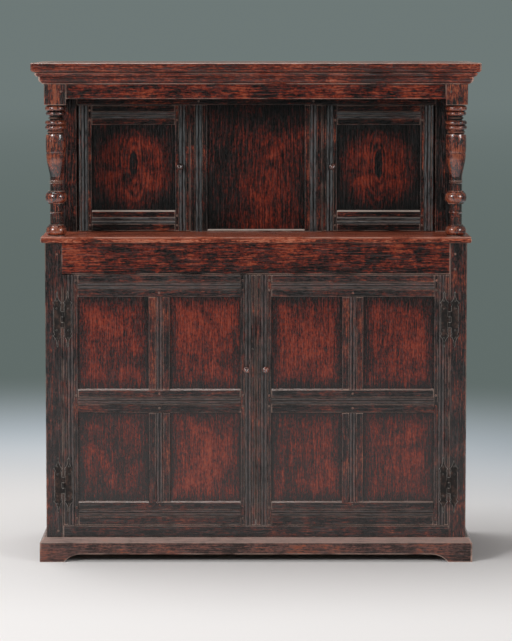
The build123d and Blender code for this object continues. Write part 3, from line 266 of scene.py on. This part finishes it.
def moulding(coat, face):
    """How much of a bead, a quirk and the plain face the point is."""
    x, y, _ = coat.split()
    if face > 0:
        depth = coat.sum("SUBTRACT", face, coat.sum("ABSOLUTE", x))
    else:
        depth = coat.sum("SUBTRACT", y, face)
    shallow = coat.fading(depth, *quirk_floor)
    bead = coat.sum("SUBTRACT", coat.graded(depth, *bead_top), coat.graded(depth, *bead_foot))
    quirk = coat.sum("MULTIPLY", coat.graded(depth, *quirk_side), shallow)
    run = coat.sum("MULTIPLY", coat.graded(depth, *bead_top), shallow)
    return coat.sum("MAXIMUM", bead, 0.0), quirk, coat.sum("SUBTRACT", 1.0, run)


def oak(
    name, grain, redness, colours=framing_colours, streak=1.0, cloud=1.0, cloud_size=9.0, veil_of_wax_and_sheen=0.25,
    face=None, bead_wax_and_sheen=0.7, wax_and_sheen_colour=old_wax_and_sheen, wear=0.6, dust_and_top_light=0.8, level_dust_and_top_light=1.0, dust_and_top_light_colour=bare_edge,
    grime_and_shade_reach=0.035, gloss=0.26, shine=0.30, coating=0.0, rub=None,
):
    """Old polished oak with its grain along one axis.

    redness says how far the polish is rubbed through, streak and cloud how unevenly, the veil and bead
    amounts how much old wax and painted sheen lie in the grain and on the beads of a moulded face, wear how
    pale the arrises are, and the upward amounts how much dust and painted top light lie on what faces up,
    the sills above all. A rub adds what is the piece's own.
    """
    coat = AgedFinish(name)
    lines = coat.spread(along_grain[grain])
    flames = coat.noise(lines, flame_scale, detail=3, roughness=0.6, distortion=0.2)
    streaks = coat.noise(lines, streak_scale, detail=3, roughness=0.65)
    hairs = coat.noise(lines, hair_scale, detail=2, roughness=0.6)
    specks = coat.noise(coat.spread(speck_shape[grain]), speck_scale, detail=2, roughness=0.7)
    clouds = coat.noise(coat.place, cloud_size, detail=5, roughness=0.65, distortion=0.4)

    # Each layer is about a half on the whole, so half its part comes off and redness stays the mean.
    layers = (
        (flames, 1.3 * streak), (streaks, 1.8 * streak), (hairs, 1.4 * streak), (specks, 1.8 * streak),
        (clouds, 2.6 * cloud),
    )
    bareness = redness - 0.5 * sum(part for _, part in layers)
    for layer, part in layers:
        bareness = coat.sum("MULTIPLY_ADD", layer, part, bareness)
    if rub:
        bareness = coat.sum("ADD", bareness, rub(coat, clouds))
    ramp = coat.add("ShaderNodeValToRGB")
    coat.feed(ramp.inputs[0], bareness)
    stops = ramp.color_ramp.elements
    for at in (0.28, 0.52, 0.78):
        stops.new(at)
    for stop, colour in zip(stops, colours):
        stop.color = colour
    colour = ramp.outputs[0]

    # The pores stay black, and a thin broken veil along the grain is painted the wax grey: wax dried in
    # the grain, and a painted sheen with it.
    pores = coat.fading(coat.noise(lines, pore_scale, detail=1, roughness=0.5), 0.34, 0.45)
    colour = coat.blend(coat.sum("MULTIPLY", pores, 0.75), colour, colours[0])
    veil = coat.spread(along_grain[grain], shift=veil_shift)
    veil = coat.noise(veil, veil_scale, detail=3, roughness=0.6)
    veil = coat.sum("MULTIPLY", coat.graded(veil, 0.54, 0.68), veil_of_wax_and_sheen)
    colour = coat.blend(veil, colour, wax_and_sheen_colour)
    if face:
        bead, quirk, plain = moulding(coat, face)
        broken = coat.sum("MULTIPLY_ADD", hairs, 0.5, coat.sum("MULTIPLY", streaks, 0.5))
        broken = coat.sum("MULTIPLY", coat.graded(broken, 0.38, 0.58), bead_wax_and_sheen)
        # The beads are painted the wax grey in broken lines: old wax on them, and a painted sheen along them.
        colour = coat.blend(coat.sum("MULTIPLY", bead, broken), colour, wax_and_sheen_colour)
        # The quirks are painted near black: painted shade in the narrow grooves.
        colour = coat.blend(coat.sum("MULTIPLY", quirk, 0.9), colour, colours[0])

    # Grime and painted shade darken the hollows, and the arrises are worn pale in places.
    grime_and_shade = coat.fading(coat.openness(grime_and_shade_reach), 0.20, 0.72)
    colour = coat.blend(coat.sum("MULTIPLY", grime_and_shade, 0.85), colour, colours[0])
    worn = coat.fading(coat.openness(arris_reach, inside=True), 0.55, 0.95)
    worn = coat.sum("MULTIPLY", worn, coat.graded(coat.noise(coat.place, 14, detail=5), 0.36, 0.58))
    if face:
        worn = coat.sum("MULTIPLY", worn, coat.sum("MULTIPLY_ADD", plain, 0.75, 0.25))
    colour = coat.blend(coat.sum("MULTIPLY", worn, wear), colour, bare_edge)

    # Dust and painted top light lie on what faces up: all of it on a sloping sill, the level share on a level
    # face.
    _, _, up = coat.split(coat.add("ShaderNodeNewGeometry").outputs["Normal"])
    upward = coat.graded(up, 0.35, 0.70)
    upward = coat.sum("MULTIPLY", upward, coat.graded(coat.sum("ADD", clouds, streaks), 0.40, 1.00))
    upward = coat.sum("MULTIPLY", upward, coat.sum("MULTIPLY_ADD", grime_and_shade, -0.6, 1.0))
    level = coat.graded(up, 0.93, 0.99)
    upward = coat.sum("MULTIPLY", upward, coat.sum("MULTIPLY_ADD", level, level_dust_and_top_light - 1, 1.0))
    colour = coat.blend(coat.sum("MULTIPLY", upward, dust_and_top_light), colour, dust_and_top_light_colour)

    coat.feed(coat.shader.inputs["Base Color"], colour)
    rough = coat.sum("MULTIPLY_ADD", streaks, 0.30, gloss - 0.15)
    rough = coat.sum("MULTIPLY_ADD", pores, 0.20, rough)
    coat.feed(coat.shader.inputs["Roughness"], rough)
    coat.shader.inputs["Specular IOR Level"].default_value = shine
    coat.shader.inputs["Coat Weight"].default_value = coating
    coat.shader.inputs["Coat Roughness"].default_value = 0.09
    height = coat.sum("MULTIPLY_ADD", streaks, 0.6, coat.sum("MULTIPLY", hairs, 0.4))
    height = coat.sum("MULTIPLY_ADD", pores, -0.4, height)
    coat.relief(height, strength=0.28, depth=0.0010)
    return coat.material


def dress(material, *names):
    """The named CAD pieces get a material in every slot."""
    for name in names:
        piece = nodes[name]
        if not piece.material_slots:
            piece.data.materials.append(material)
        for slot in piece.material_slots:
            slot.material = material


# Where the plain faces lie: the fronts of the doors and of the recess along Y, the sides along X.
door_face, recess_face = -0.245, -0.010
side_face = 0.695
# What faces up on the framing takes these colours, dust with painted light from above; in the shaded recess
# the colour is paler still, painted light against its shade.
sill_dust_and_light = (0.23, 0.155, 0.13, 1)
recess_dust_and_light = (0.52, 0.43, 0.38, 1)
recess_wax_and_sheen = (0.1050, 0.1130, 0.1150, 1)
# The lower stage's wax grey and framing colours are lighter and greyer than the polish elsewhere: a painted
# sheen of the pale floor reflected in the polish, over the real wax and polish.
lower_wax_and_floor_sheen = (0.125, 0.110, 0.106, 1)
lower_colours_with_floor_sheen = (
    (0.0065, 0.0050, 0.0050, 1), (0.0250, 0.0155, 0.0145, 1), (0.0640, 0.0170, 0.0135, 1),
    (0.1450, 0.0310, 0.0190, 1), bare_orange,
)
framing = dict(
    colours=lower_colours_with_floor_sheen, streak=0.85, cloud=0.8, face=door_face, bead_wax_and_sheen=0.5, wax_and_sheen_colour=lower_wax_and_floor_sheen,
    wear=0.65, level_dust_and_top_light=0.1, dust_and_top_light_colour=sill_dust_and_light, gloss=0.20, shine=0.52,
)
dress(
    oak("framing_oak_upright", "Z", 0.31, **framing),
    "left_front_post", "right_front_post", "left_door_stiles", "right_door_stiles",
)
dress(oak("muntin_oak", "Z", 0.42, **framing), "left_door_muntins", "right_door_muntins")
dress(
    oak("framing_oak_rail", "X", 0.27, **framing),
    "lower_bottom_rail", "left_door_rails", "right_door_rails",
)
side_framing = dict(framing, face=side_face)
dress(oak("side_oak_upright", "Z", 0.27, **side_framing), "back_posts", "side_muntins")
dress(
    oak("side_oak_rail", "Y", 0.27, **side_framing),
    "left_side_rails", "right_side_rails", "frieze_side_rails", "upper_side_rails",
)
recess = dict(
    veil_of_wax_and_sheen=0.1, face=recess_face, bead_wax_and_sheen=0.9, wax_and_sheen_colour=recess_wax_and_sheen, dust_and_top_light=1.0, level_dust_and_top_light=0.1,
    dust_and_top_light_colour=recess_dust_and_light,
)
dress(
    oak("recess_oak_upright", "Z", 0.26, **recess),
    "fixed_muntins", "upper_left_door_stiles", "upper_right_door_stiles",
)
dress(
    oak("recess_oak_rail", "X", 0.22, **recess),
    "head_rail", "centre_sill", "upper_left_door_rails", "upper_right_door_rails",
)
dress(oak("corner_oak", "Z", 0.10), "left_corner_post", "right_corner_post")

# ---- Friezes ----
# The wide rails above the lower doors and between the columns are plain, so hands and cloths
# have rubbed them in large ragged patches down to a clear red.
frieze_colours = (
    polish_black, (0.0180, 0.0080, 0.0066, 1), (0.0720, 0.0100, 0.0065, 1), (0.1900, 0.0230, 0.0100, 1),
    (0.3000, 0.0650, 0.0280, 1),
)
frieze_low, frieze_high = 0.956, 1.060
left_end = (-0.36, -0.14)


def lower_frieze_rub(coat, clouds):
    """The lower frieze is clearest at its left end, and keeps its polish in the middle and low down."""
    x, _, z = coat.split()
    left = coat.fading(coat.sum("MULTIPLY_ADD", clouds, 0.5, x), *left_end)
    height = coat.sum("DIVIDE", coat.sum("SUBTRACT", z, frieze_low), frieze_high - frieze_low)
    low = coat.fading(coat.sum("MULTIPLY_ADD", clouds, -0.5, height), -0.20, 0.10)
    return coat.sum("MULTIPLY_ADD", left, 0.24, coat.sum("MULTIPLY_ADD", low, -0.22, -0.02))


frieze = dict(colours=frieze_colours, streak=0.9, cloud=0.9, veil_of_wax_and_sheen=0.25, wear=0.7)
dress(oak("upper_frieze_oak", "X", 0.50, cloud_size=13, **frieze), "upper_frieze_rail")
dress(oak("lower_frieze_oak", "X", 0.48, cloud_size=16, rub=lower_frieze_rub, **frieze), "lower_frieze_rail")

# ---- Mouldings: cornice, middle shelf and plinth ----
# Sticks of oak run with moulding planes and mitred at the corners, redder than the framing
# because they are touched and dusted the most, with pale worn edges.
shelf_colours = (polish_brown, rubbed_red, clear_red, (0.34, 0.075, 0.035, 1), (0.48, 0.17, 0.10, 1))
# The shelf's top is painted a bright red-orange, painted light on the face that looks up; the plinth's
# chamfer is painted pale, dust with painted light.
shelf_top_light = (0.60, 0.15, 0.08, 1)
plinth_dust_and_light = (0.41, 0.29, 0.25, 1)
plinth_colours = (
    (0.026, 0.0170, 0.0150, 1), (0.060, 0.034, 0.030, 1), (0.115, 0.055, 0.047, 1),
    (0.20, 0.080, 0.062, 1), bare_orange,
)
dress(
    oak(
        "shelf_oak", "X", 0.66, shelf_colours, streak=1.2, veil_of_wax_and_sheen=0.1, dust_and_top_light=0.60, dust_and_top_light_colour=shelf_top_light,
        wear=0.9, grime_and_shade_reach=0.015, shine=0.12,
    ),
    "middle_shelf",
)
cornice = dict(
    colours=shelf_colours, streak=0.8, cloud=0.6, veil_of_wax_and_sheen=0.5, dust_and_top_light=0.5, grime_and_shade_reach=0.012, wear=1.0,
)
dress(oak("cornice_oak", "X", 0.34, **cornice), "cornice_front")
dress(oak("cornice_side_oak", "Y", 0.34, **cornice), "cornice_sides")
plinth = dict(
    colours=plinth_colours, streak=0.9, cloud=0.8, veil_of_wax_and_sheen=0.4, wear=1.0, dust_and_top_light=0.85, dust_and_top_light_colour=plinth_dust_and_light,
)
dress(oak("plinth_oak", "X", 0.42, **plinth), "plinth_front")
dress(oak("plinth_side_oak", "Y", 0.42, **plinth), "plinth_sides")

# ---- Panels ----
# Thin quartered boards, feathered to sit in the grooves. Their middles are rubbed clear and red,
# and the old dark polish is left in a frame of ragged width along the edges.
panel_colours = (
    polish_black, (0.0270, 0.0070, 0.0055, 1), (0.0880, 0.0100, 0.0060, 1), (0.1880, 0.0220, 0.0090, 1),
    (0.2700, 0.0450, 0.0200, 1),
)
# The four panels of a lower door: the door's middle, how far each lies from it, and half a panel.
door_across, door_up = 0.3195, 0.5375
panel_across, panel_up = 0.152, 0.190
half_panel_across, half_panel_up = 0.1165, 0.150
# Where one board's tone gives way to the next: between the rows, at the left muntin, at the meeting.
row_break, muntin_break, meeting_break = (0.50, 0.60), (-0.325, -0.315), (-0.02, 0.02)
# The panel of an upper door: its middle, half its size, and the knot a little above its middle.
upper_across, upper_up = 0.413, 1.290
half_upper_across, half_upper_up = 0.150, 0.152
knot_up = 1.305
# The centre panel: the heart of its long rings, and where its dark edges begin and are full.
heart_across, heart_up = 0.055, 1.200
dark_left, dark_top, dark_right = (0.10, 0.24), (1.50, 1.64), (0.17, 0.25)


def growth_rings(coat, x, z, middle, tall, pitch):
    """The cathedral lines of a board cut near the heart: long ovals round a middle point."""
    beside = coat.sum("SUBTRACT", x, middle[0])
    above = coat.sum("DIVIDE", coat.sum("SUBTRACT", z, middle[1]), tall)
    reach = coat.sum("SQRT", coat.sum("MULTIPLY_ADD", above, above, coat.sum("MULTIPLY", beside, beside)))
    waver = coat.noise(coat.spread((1, 1, 0.4)), 30, detail=2)
    rings = coat.sum("MULTIPLY_ADD", reach, math.tau / pitch, coat.sum("MULTIPLY", waver, 9))
    return reach, coat.sum("SINE", rings)


def door_panel_rub(coat, clouds):
    """Dark towards the four edges of each lower door panel; the boards differ a little in tone."""
    x, _, z = coat.split()

    def folded(value, *steps):
        for step in steps:
            value = coat.sum("ABSOLUTE", coat.sum("SUBTRACT", value, step))
        return value

    beside = coat.sum("DIVIDE", folded(x, 0, door_across, panel_across), half_panel_across)
    above = coat.sum("DIVIDE", folded(z, door_up, panel_up), half_panel_up)
    edge = coat.sum("MULTIPLY_ADD", clouds, 0.7, coat.sum("MAXIMUM", beside, above))
    tone = coat.sum("MULTIPLY_ADD", coat.graded(z, *row_break), 0.06, -0.02)
    inner_left = coat.sum("SUBTRACT", coat.graded(x, *muntin_break), coat.graded(x, *meeting_break))
    tone = coat.sum("MULTIPLY_ADD", inner_left, 0.09, tone)
    return coat.sum("MULTIPLY_ADD", coat.graded(edge, 1.00, 1.50), -0.55, tone)


dress(
    oak(
        "door_panel_oak", "Z", 0.51, panel_colours, streak=0.75, cloud=0.7, cloud_size=7, veil_of_wax_and_sheen=0.1,
        gloss=0.19, shine=0.60, rub=door_panel_rub,
    ),
    "left_door_panels", "right_door_panels",
)


def upper_panel_rub(coat, clouds):
    """Each upper door panel is red in an upright oval round a knot, the right one a little less."""
    x, _, z = coat.split()
    right = coat.graded(x, -0.1, 0.1)
    x = coat.sum("ABSOLUTE", x)
    reach, rings = growth_rings(coat, x, z, (upper_across, knot_up), 3.0, 0.011)
    beside = coat.sum("DIVIDE", coat.sum("SUBTRACT", x, upper_across), half_upper_across)
    above = coat.sum("DIVIDE", coat.sum("SUBTRACT", z, upper_up), half_upper_up)
    spread = coat.sum("MULTIPLY_ADD", above, above, coat.sum("MULTIPLY", beside, beside))
    spread = coat.sum("MULTIPLY_ADD", clouds, 1.7, spread)
    dark = coat.sum("MULTIPLY", coat.graded(spread, 1.10, 2.05), -0.72)
    dark = coat.sum("MULTIPLY_ADD", right, -0.08, dark)
    near = coat.fading(reach, 0.020, 0.070)
    dark = coat.sum("MULTIPLY_ADD", rings, coat.sum("MULTIPLY_ADD", near, 0.08, 0.08), dark)
    knot = coat.fading(reach, 0.008, 0.018)
    return coat.sum("MULTIPLY_ADD", knot, -0.7, dark)


dress(
    oak(
        "upper_panel_oak", "Z", 0.58, panel_colours, streak=0.7, cloud=0.9, cloud_size=14, veil_of_wax_and_sheen=0.15,
        rub=upper_panel_rub,
    ),
    "upper_left_door_panel", "upper_right_door_panel",
)


def centre_panel_rub(coat, clouds):
    """The centre panel is dark at its left, top and right edges, with long rings round a heart."""
    x, _, z = coat.split()
    _, rings = growth_rings(coat, x, z, (heart_across, heart_up), 3.6, 0.016)
    left = coat.graded(coat.sum("MULTIPLY_ADD", clouds, 0.20, coat.sum("MULTIPLY", x, -1)), *dark_left)
    top = coat.graded(coat.sum("MULTIPLY_ADD", clouds, 0.30, z), *dark_top)
    right = coat.graded(coat.sum("MULTIPLY_ADD", clouds, 0.15, x), *dark_right)
    dark = coat.sum("MULTIPLY", coat.sum("MAXIMUM", coat.sum("MAXIMUM", left, top), right), -0.45)
    return coat.sum("MULTIPLY_ADD", rings, 0.11, dark)


dress(
    oak(
        "centre_panel_oak", "Z", 0.46, panel_colours, streak=0.8, cloud=0.7, veil_of_wax_and_sheen=0.15,
        rub=centre_panel_rub,
    ),
    "centre_panel",
)
dress(oak("side_panel_oak", "Z", 0.45, panel_colours, streak=0.6, cloud=0.8, veil_of_wax_and_sheen=0.2), "side_panels")

# ---- Turned columns and knobs ----
# Turned from one billet on a pole lathe and polished by handling, so the rings shine and are
# rubbed red, while the necks and the cuts between the rings keep their black polish, and the cuts
# are darkened further by grime and painted shade.
column_across, column_along = 0.659, -0.209
neck_to_ring = (0.020, 0.033)
block_begins = (0.0358, 0.0364)


def column_rub(coat, clouds):
    """Clearest where the turning stands far out from the middle of the column, less so on the block."""
    x, y, _ = coat.split()
    across = coat.sum("SUBTRACT", coat.sum("ABSOLUTE", x), column_across)
    along = coat.sum("SUBTRACT", y, column_along)
    radius = coat.sum("SQRT", coat.sum("MULTIPLY_ADD", across, across, coat.sum("MULTIPLY", along, along)))
    block = coat.sum("MULTIPLY_ADD", coat.graded(radius, *block_begins), -0.30, -0.30)
    return coat.sum("MULTIPLY_ADD", coat.graded(radius, *neck_to_ring), 0.44, block)


turned = dict(veil_of_wax_and_sheen=0.1, dust_and_top_light=0.0, gloss=0.16, shine=0.6, coating=0.8)
dress(
    oak("turned_oak", "Z", 0.60, cloud=1.1, cloud_size=18, grime_and_shade_reach=0.016, rub=column_rub, **turned),
    "left_column", "right_column",
)
# The knobs' rims wear pale at full strength: worn wood, and a painted highlight round each rim.
dress(
    oak("knob_oak", "Z", 0.48, cloud_size=40, wear=1.0, grime_and_shade_reach=0.008, **turned),
    "left_door_knob", "right_door_knob", "upper_left_knob", "upper_right_knob",
    "left_turn_button", "right_turn_button",
)

# ---- Pegs ----
# Each mortise and tenon is drawn up with a riven oak peg about 8 mm across, driven through the
# cheek of the joint, cut off just proud of the face and polished over with the rest.
peg_profile = [(0.0041, -0.003), (0.0041, 0.0003), (0.0033, 0.0008), (0.0016, 0.0010)]
peg_sides = 8
unevenness = 0.10
inwards, rightwards, leftwards = Vector((0, 1, 0)), Vector((1, 0, 0)), Vector((-1, 0, 0))
stand_off = 2.0


def seat(node, x, y, z, toward):
    """Where a line toward a CAD piece through the point first meets it."""
    start = Vector((x, y, z)) - toward * stand_off
    found, place, _, _ = nodes[node].ray_cast(start, toward)
    if not found:
        raise ValueError(f"nothing of {node} at {x}, {y}, {z}")
    return place, -toward


def heads(name, body, material, profile, sides, seats):
    """One mesh of small hand-made heads, each a little uneven, that stand out from their seats."""
    chance = random.Random(name)
    points, faces = [], []
    for place, out in seats:
        across = out.orthogonal().normalized()
        along = out.cross(across)
        turn = chance.uniform(0, math.tau)
        stretch = [chance.uniform(1 - unevenness, 1 + unevenness) for _ in range(sides)]
        first = len(points)
        for radius, height in profile:
            for side in range(sides):
                angle = turn + math.tau * side / sides
                spoke = across * math.cos(angle) + along * math.sin(angle)
                points.append(place + out * height + spoke * (radius * stretch[side]))
        for ring in range(len(profile) - 1):
            for side in range(sides):
                here, there = first + ring * sides + side, first + ring * sides + (side + 1) % sides
                faces.append((here, there, there + sides, here + sides))
        last = first + (len(profile) - 1) * sides
        faces.append(tuple(range(last, last + sides)))
        faces.append(tuple(reversed(range(first, first + sides))))
    mesh = bpy.data.meshes.new(name)
    mesh.from_pydata(points, [], faces)
    mesh.materials.append(material)
    piece = bpy.data.objects.new(name, mesh)
    bpy.context.scene.collection.objects.link(piece)
    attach(piece, body)


peg_oak = oak("peg_oak", "Y", 0.30, lower_colours_with_floor_sheen, cloud=1.2, cloud_size=50, grime_and_shade_reach=0.004, wear=0.3)
# How high the pegs stand in the carcass, joint by joint.
bottom_peg, block_peg, head_peg = 0.100, 1.556, 1.519
frieze_pegs = (0.972, 1.022)
middle_pegs = (0.517, 0.553)
side_pegs = (0.106, *middle_pegs, 0.980, 1.030)
side_muntin_pegs = (0.118, 0.507, 0.563, 0.968)
upper_side_pegs = (1.097, 1.133, 1.530, 1.600)
# How far they lie from the middle of the front, and from front to back on the sides.
post_across, block_across, muntin_across, side_across = 0.656, 0.6395, 0.193, 0.7
post_along, block_along, rail_along, muntin_along, corner_along, back_along = (
    -0.203, -0.184, 0.0, 0.023, 0.0245, 0.248,
)
carcass_pegs = []
for sign, side_name, toward in ((-1, "left", rightwards), (1, "right", leftwards)):
    front, column, corner = f"{side_name}_front_post", f"{side_name}_column", f"{side_name}_corner_post"
    rails, side = f"{side_name}_side_rails", sign * side_across
    carcass_pegs += [seat(front, sign * post_across, 0, z, inwards) for z in (bottom_peg, *frieze_pegs)]
    carcass_pegs += [seat(column, sign * block_across, 0, block_peg, inwards)]
    carcass_pegs += [seat("head_rail", sign * muntin_across, 0, head_peg, inwards)]
    carcass_pegs += [seat(front, side, post_along, z, toward) for z in side_pegs]
    carcass_pegs += [seat("back_posts", side, back_along, z, toward) for z in (*side_pegs, *upper_side_pegs)]
    carcass_pegs += [seat(rails, side, muntin_along, z, toward) for z in side_muntin_pegs]
    carcass_pegs += [seat(corner, side, corner_along, z, toward) for z in upper_side_pegs]
    carcass_pegs += [seat(column, side, block_along, block_peg, toward)]
    carcass_pegs += [seat(corner, side, rail_along, block_peg, toward)]
heads("carcass_pegs", "carcass", peg_oak, peg_profile, peg_sides, carcass_pegs)

# The doors: at each corner of a frame, at the ends of a lower door's middle rail and of its muntins.
door_stiles_across = (0.0435, 0.5945)
door_corner_pegs = (0.142, 0.178, *middle_pegs, 0.903, 0.935)
door_muntin_pegs = (0.1855, 0.511, 0.559, 0.8935)
upper_stiles_across = (0.2665, 0.5600)
upper_corner_pegs = (1.100, 1.132, 1.455, 1.488)
for sign, side_name in ((-1, "left"), (1, "right")):
    stiles, rails = f"{side_name}_door_stiles", f"{side_name}_door_rails"
    door_pegs = [
        seat(stiles, sign * x, 0, z, inwards) for x in door_stiles_across for z in door_corner_pegs
    ]
    door_pegs += [seat(rails, sign * door_across, 0, z, inwards) for z in door_muntin_pegs]
    heads(
        f"{side_name}_door_pegs", f"lower_{side_name}_door", peg_oak,
        peg_profile, peg_sides, door_pegs,
    )
    upper_stiles = f"upper_{side_name}_door_stiles"
    upper_pegs = [
        seat(upper_stiles, sign * x, 0, z, inwards) for x in upper_stiles_across for z in upper_corner_pegs
    ]
    heads(
        f"upper_{side_name}_door_pegs", f"upper_{side_name}_door", peg_oak,
        peg_profile, peg_sides, upper_pegs,
    )

# ---- Boards of the back, the inside and the top ----
# Riven boards, nailed on edge to edge. Those of the back and the inside were never polished,
# and each board has its own tone because it comes from another part of the log.
dry_colours = (
    (0.042, 0.024, 0.015, 1), (0.090, 0.052, 0.031, 1), (0.150, 0.088, 0.052, 1),
    (0.220, 0.135, 0.082, 1), (0.280, 0.180, 0.115, 1),
)
shelf_level = 1.07
# Where the first board of each row begins and how far apart the boards lie.
back_start, back_step = -0.659, 0.1883
floor_start, floor_step = -0.639, 0.2130
top_start, top_step = -0.2455, 0.177


def board_tones(axis, first, pitch, spread):
    """A rub that gives each board of a row its own tone, other ones above the shelf than below."""
    def rub(coat, clouds):
        place = dict(zip("XYZ", coat.split()))
        board = coat.sum("FLOOR", coat.sum("DIVIDE", coat.sum("SUBTRACT", place[axis], first), pitch))
        upper = coat.sum("GREATER_THAN", place["Z"], shelf_level)
        tone = coat.add("ShaderNodeTexWhiteNoise", noise_dimensions="1D")
        coat.feed(tone.inputs["W"], coat.sum("MULTIPLY_ADD", upper, 20, coat.sum("ADD", board, 7.3)))
        return coat.sum("MULTIPLY", coat.sum("SUBTRACT", tone.outputs["Value"], 0.5), spread)
    return rub


dry = dict(colours=dry_colours, cloud=0.5, veil_of_wax_and_sheen=0.2, wear=0.3, dust_and_top_light=0.3, gloss=0.62)
back_tones = board_tones("X", back_start, back_step, 0.75)
floor_tones = board_tones("X", floor_start, floor_step, 0.60)
top_tones = board_tones("Y", top_start, top_step, 0.35)
dress(oak("back_board_oak", "Z", 0.52, rub=back_tones, **dry), "back_boards")
dress(oak("floor_board_oak", "Y", 0.55, rub=floor_tones, **dry), "floor_boards")
dress(oak("dry_oak", "X", 0.55, **dry), "lower_back_rails", "upper_back_rail", "inner_shelf", "shelf_bearers")
dress(oak("top_board_oak", "X", 0.52, cloud=0.8, dust_and_top_light=0.25, rub=top_tones), "top_boards")

# ---- Ironwork ----
# Hinges, pins and lock are hammered from bar and blackened. The hinges on the doors were polished
# over with the oak each time, so brown wax and a little rust lie in the hammer marks.
black_iron = (0.017, 0.014, 0.013, 1)
waxed_rust = (0.075, 0.042, 0.033, 1)
bare_iron_highlight = (0.42, 0.38, 0.35, 1)
iron_edge_reach = 0.0022


def forged(name, brightness):
    """Hammered iron; brightness says how far its edges are rubbed bare, and how bright they are painted as
    highlights.
    """
    iron = AgedFinish(name)
    hammered = iron.noise(iron.place, 90, detail=4, roughness=0.6)
    rust = iron.graded(iron.noise(iron.place, 40, detail=5, roughness=0.7), 0.46, 0.66)
    colour = iron.blend(rust, black_iron, waxed_rust)
    # The edges are painted pale: bare rubbed iron, and a painted highlight along them.
    rubbed_and_highlit = iron.fading(iron.openness(iron_edge_reach, inside=True), 0.45, 0.95)
    rubbed_and_highlit = iron.sum("MULTIPLY", rubbed_and_highlit, iron.graded(iron.noise(iron.place, 55, detail=3), 0.28, 0.52))
    colour = iron.blend(iron.sum("MULTIPLY", rubbed_and_highlit, brightness), colour, bare_iron_highlight)
    iron.feed(iron.shader.inputs["Base Color"], colour)
    iron.shader.inputs["Metallic"].default_value = 0.6
    iron.feed(iron.shader.inputs["Roughness"], iron.sum("MULTIPLY_ADD", hammered, 0.3, 0.28))
    iron.relief(hammered, strength=0.8, depth=0.002)
    return iron.material


dress(
    forged("forged_iron", 0.8),
    "post_hinge_leaves", "hinge_pins", "upper_door_pivots", "left_door_hinge_leaves",
    "right_door_hinge_leaves", "lock_case", "lock_bolt",
)

# ---- Nails ----
# Hand-made nails with domed heads, drawn from the same iron, hold the hinge leaves to the doors
# and posts, and one holds the lock. Plainer ones hold the back boards and the boards of the top.
hinge_nail_profile = [(0.0036, -0.0015), (0.0036, 0.0004), (0.0029, 0.0013), (0.0015, 0.0019)]
board_nail_profile = [(0.0042, -0.0015), (0.0042, 0.0003), (0.0026, 0.0009), (0.0012, 0.0011)]
nail_sides = 9
# The nail heads take the full brightness, so they show as bright specks: rubbed iron, and painted glints on
# the domes.
nail_iron = forged("nail_iron", 1.0)
forwards, downwards = Vector((0, -1, 0)), Vector((0, 0, -1))

# Four to each leaf: how high a hinge's middle is, and how far from it its nails are.
hinge_middles = (0.254, 0.806)
hinge_nails_up = (-0.062, -0.036, 0.036, 0.062)
post_leaf_across, door_leaf_across = 0.6575, 0.6190
lock_nail_across, lock_nail_up = -0.011, 0.708
nail_heights = [middle + up for middle in hinge_middles for up in hinge_nails_up]
post_nails = [
    seat("post_hinge_leaves", sign * post_leaf_across, 0, z, inwards)
    for sign in (-1, 1) for z in nail_heights
]
heads("post_hinge_nails", "carcass", nail_iron, hinge_nail_profile, nail_sides, post_nails)
for sign, side_name in ((-1, "left"), (1, "right")):
    leaves = f"{side_name}_door_hinge_leaves"
    leaf_nails = [seat(leaves, sign * door_leaf_across, 0, z, inwards) for z in nail_heights]
    if side_name == "left":
        leaf_nails.append(seat("left_door_stiles", lock_nail_across, 0, lock_nail_up, inwards))
    heads(
        f"{side_name}_door_nails", f"lower_{side_name}_door", nail_iron,
        hinge_nail_profile, nail_sides, leaf_nails,
    )

# Two to each back board at every rail, a row up each edge of the back, and a row round the top.
board_count, back_width = 7, 1.317
board_nails_beside = (-0.05, 0.05)
rail_nails_up = (0.083, 1.025, 1.593)
edge_across, edge_nails_up = 0.651, (0.25, 0.45, 0.65, 0.85, 1.14, 1.29, 1.44)
top_level = 1.6
top_side_across, top_side_along = 0.676, (-0.21, -0.11, -0.03, 0.07, 0.15, 0.24)
top_end_across, top_end_along = (-0.45, -0.15, 0.15, 0.45), (-0.228, 0.262)
board_middles = [(board - board_count // 2) * (back_width / board_count) for board in range(board_count)]
board_nails = [
    seat("back_boards", middle + beside, 0, z, forwards)
    for middle in board_middles for beside in board_nails_beside for z in rail_nails_up
]
board_nails += [
    seat("back_boards", sign * edge_across, 0, z, forwards) for sign in (-1, 1) for z in edge_nails_up
]
board_nails += [
    seat("top_boards", sign * top_side_across, y, top_level, downwards)
    for sign in (-1, 1) for y in top_side_along
]
board_nails += [
    seat("top_boards", x, y, top_level, downwards) for x in top_end_across for y in top_end_along
]
heads("board_nails", "carcass", nail_iron, board_nail_profile, nail_sides, board_nails)
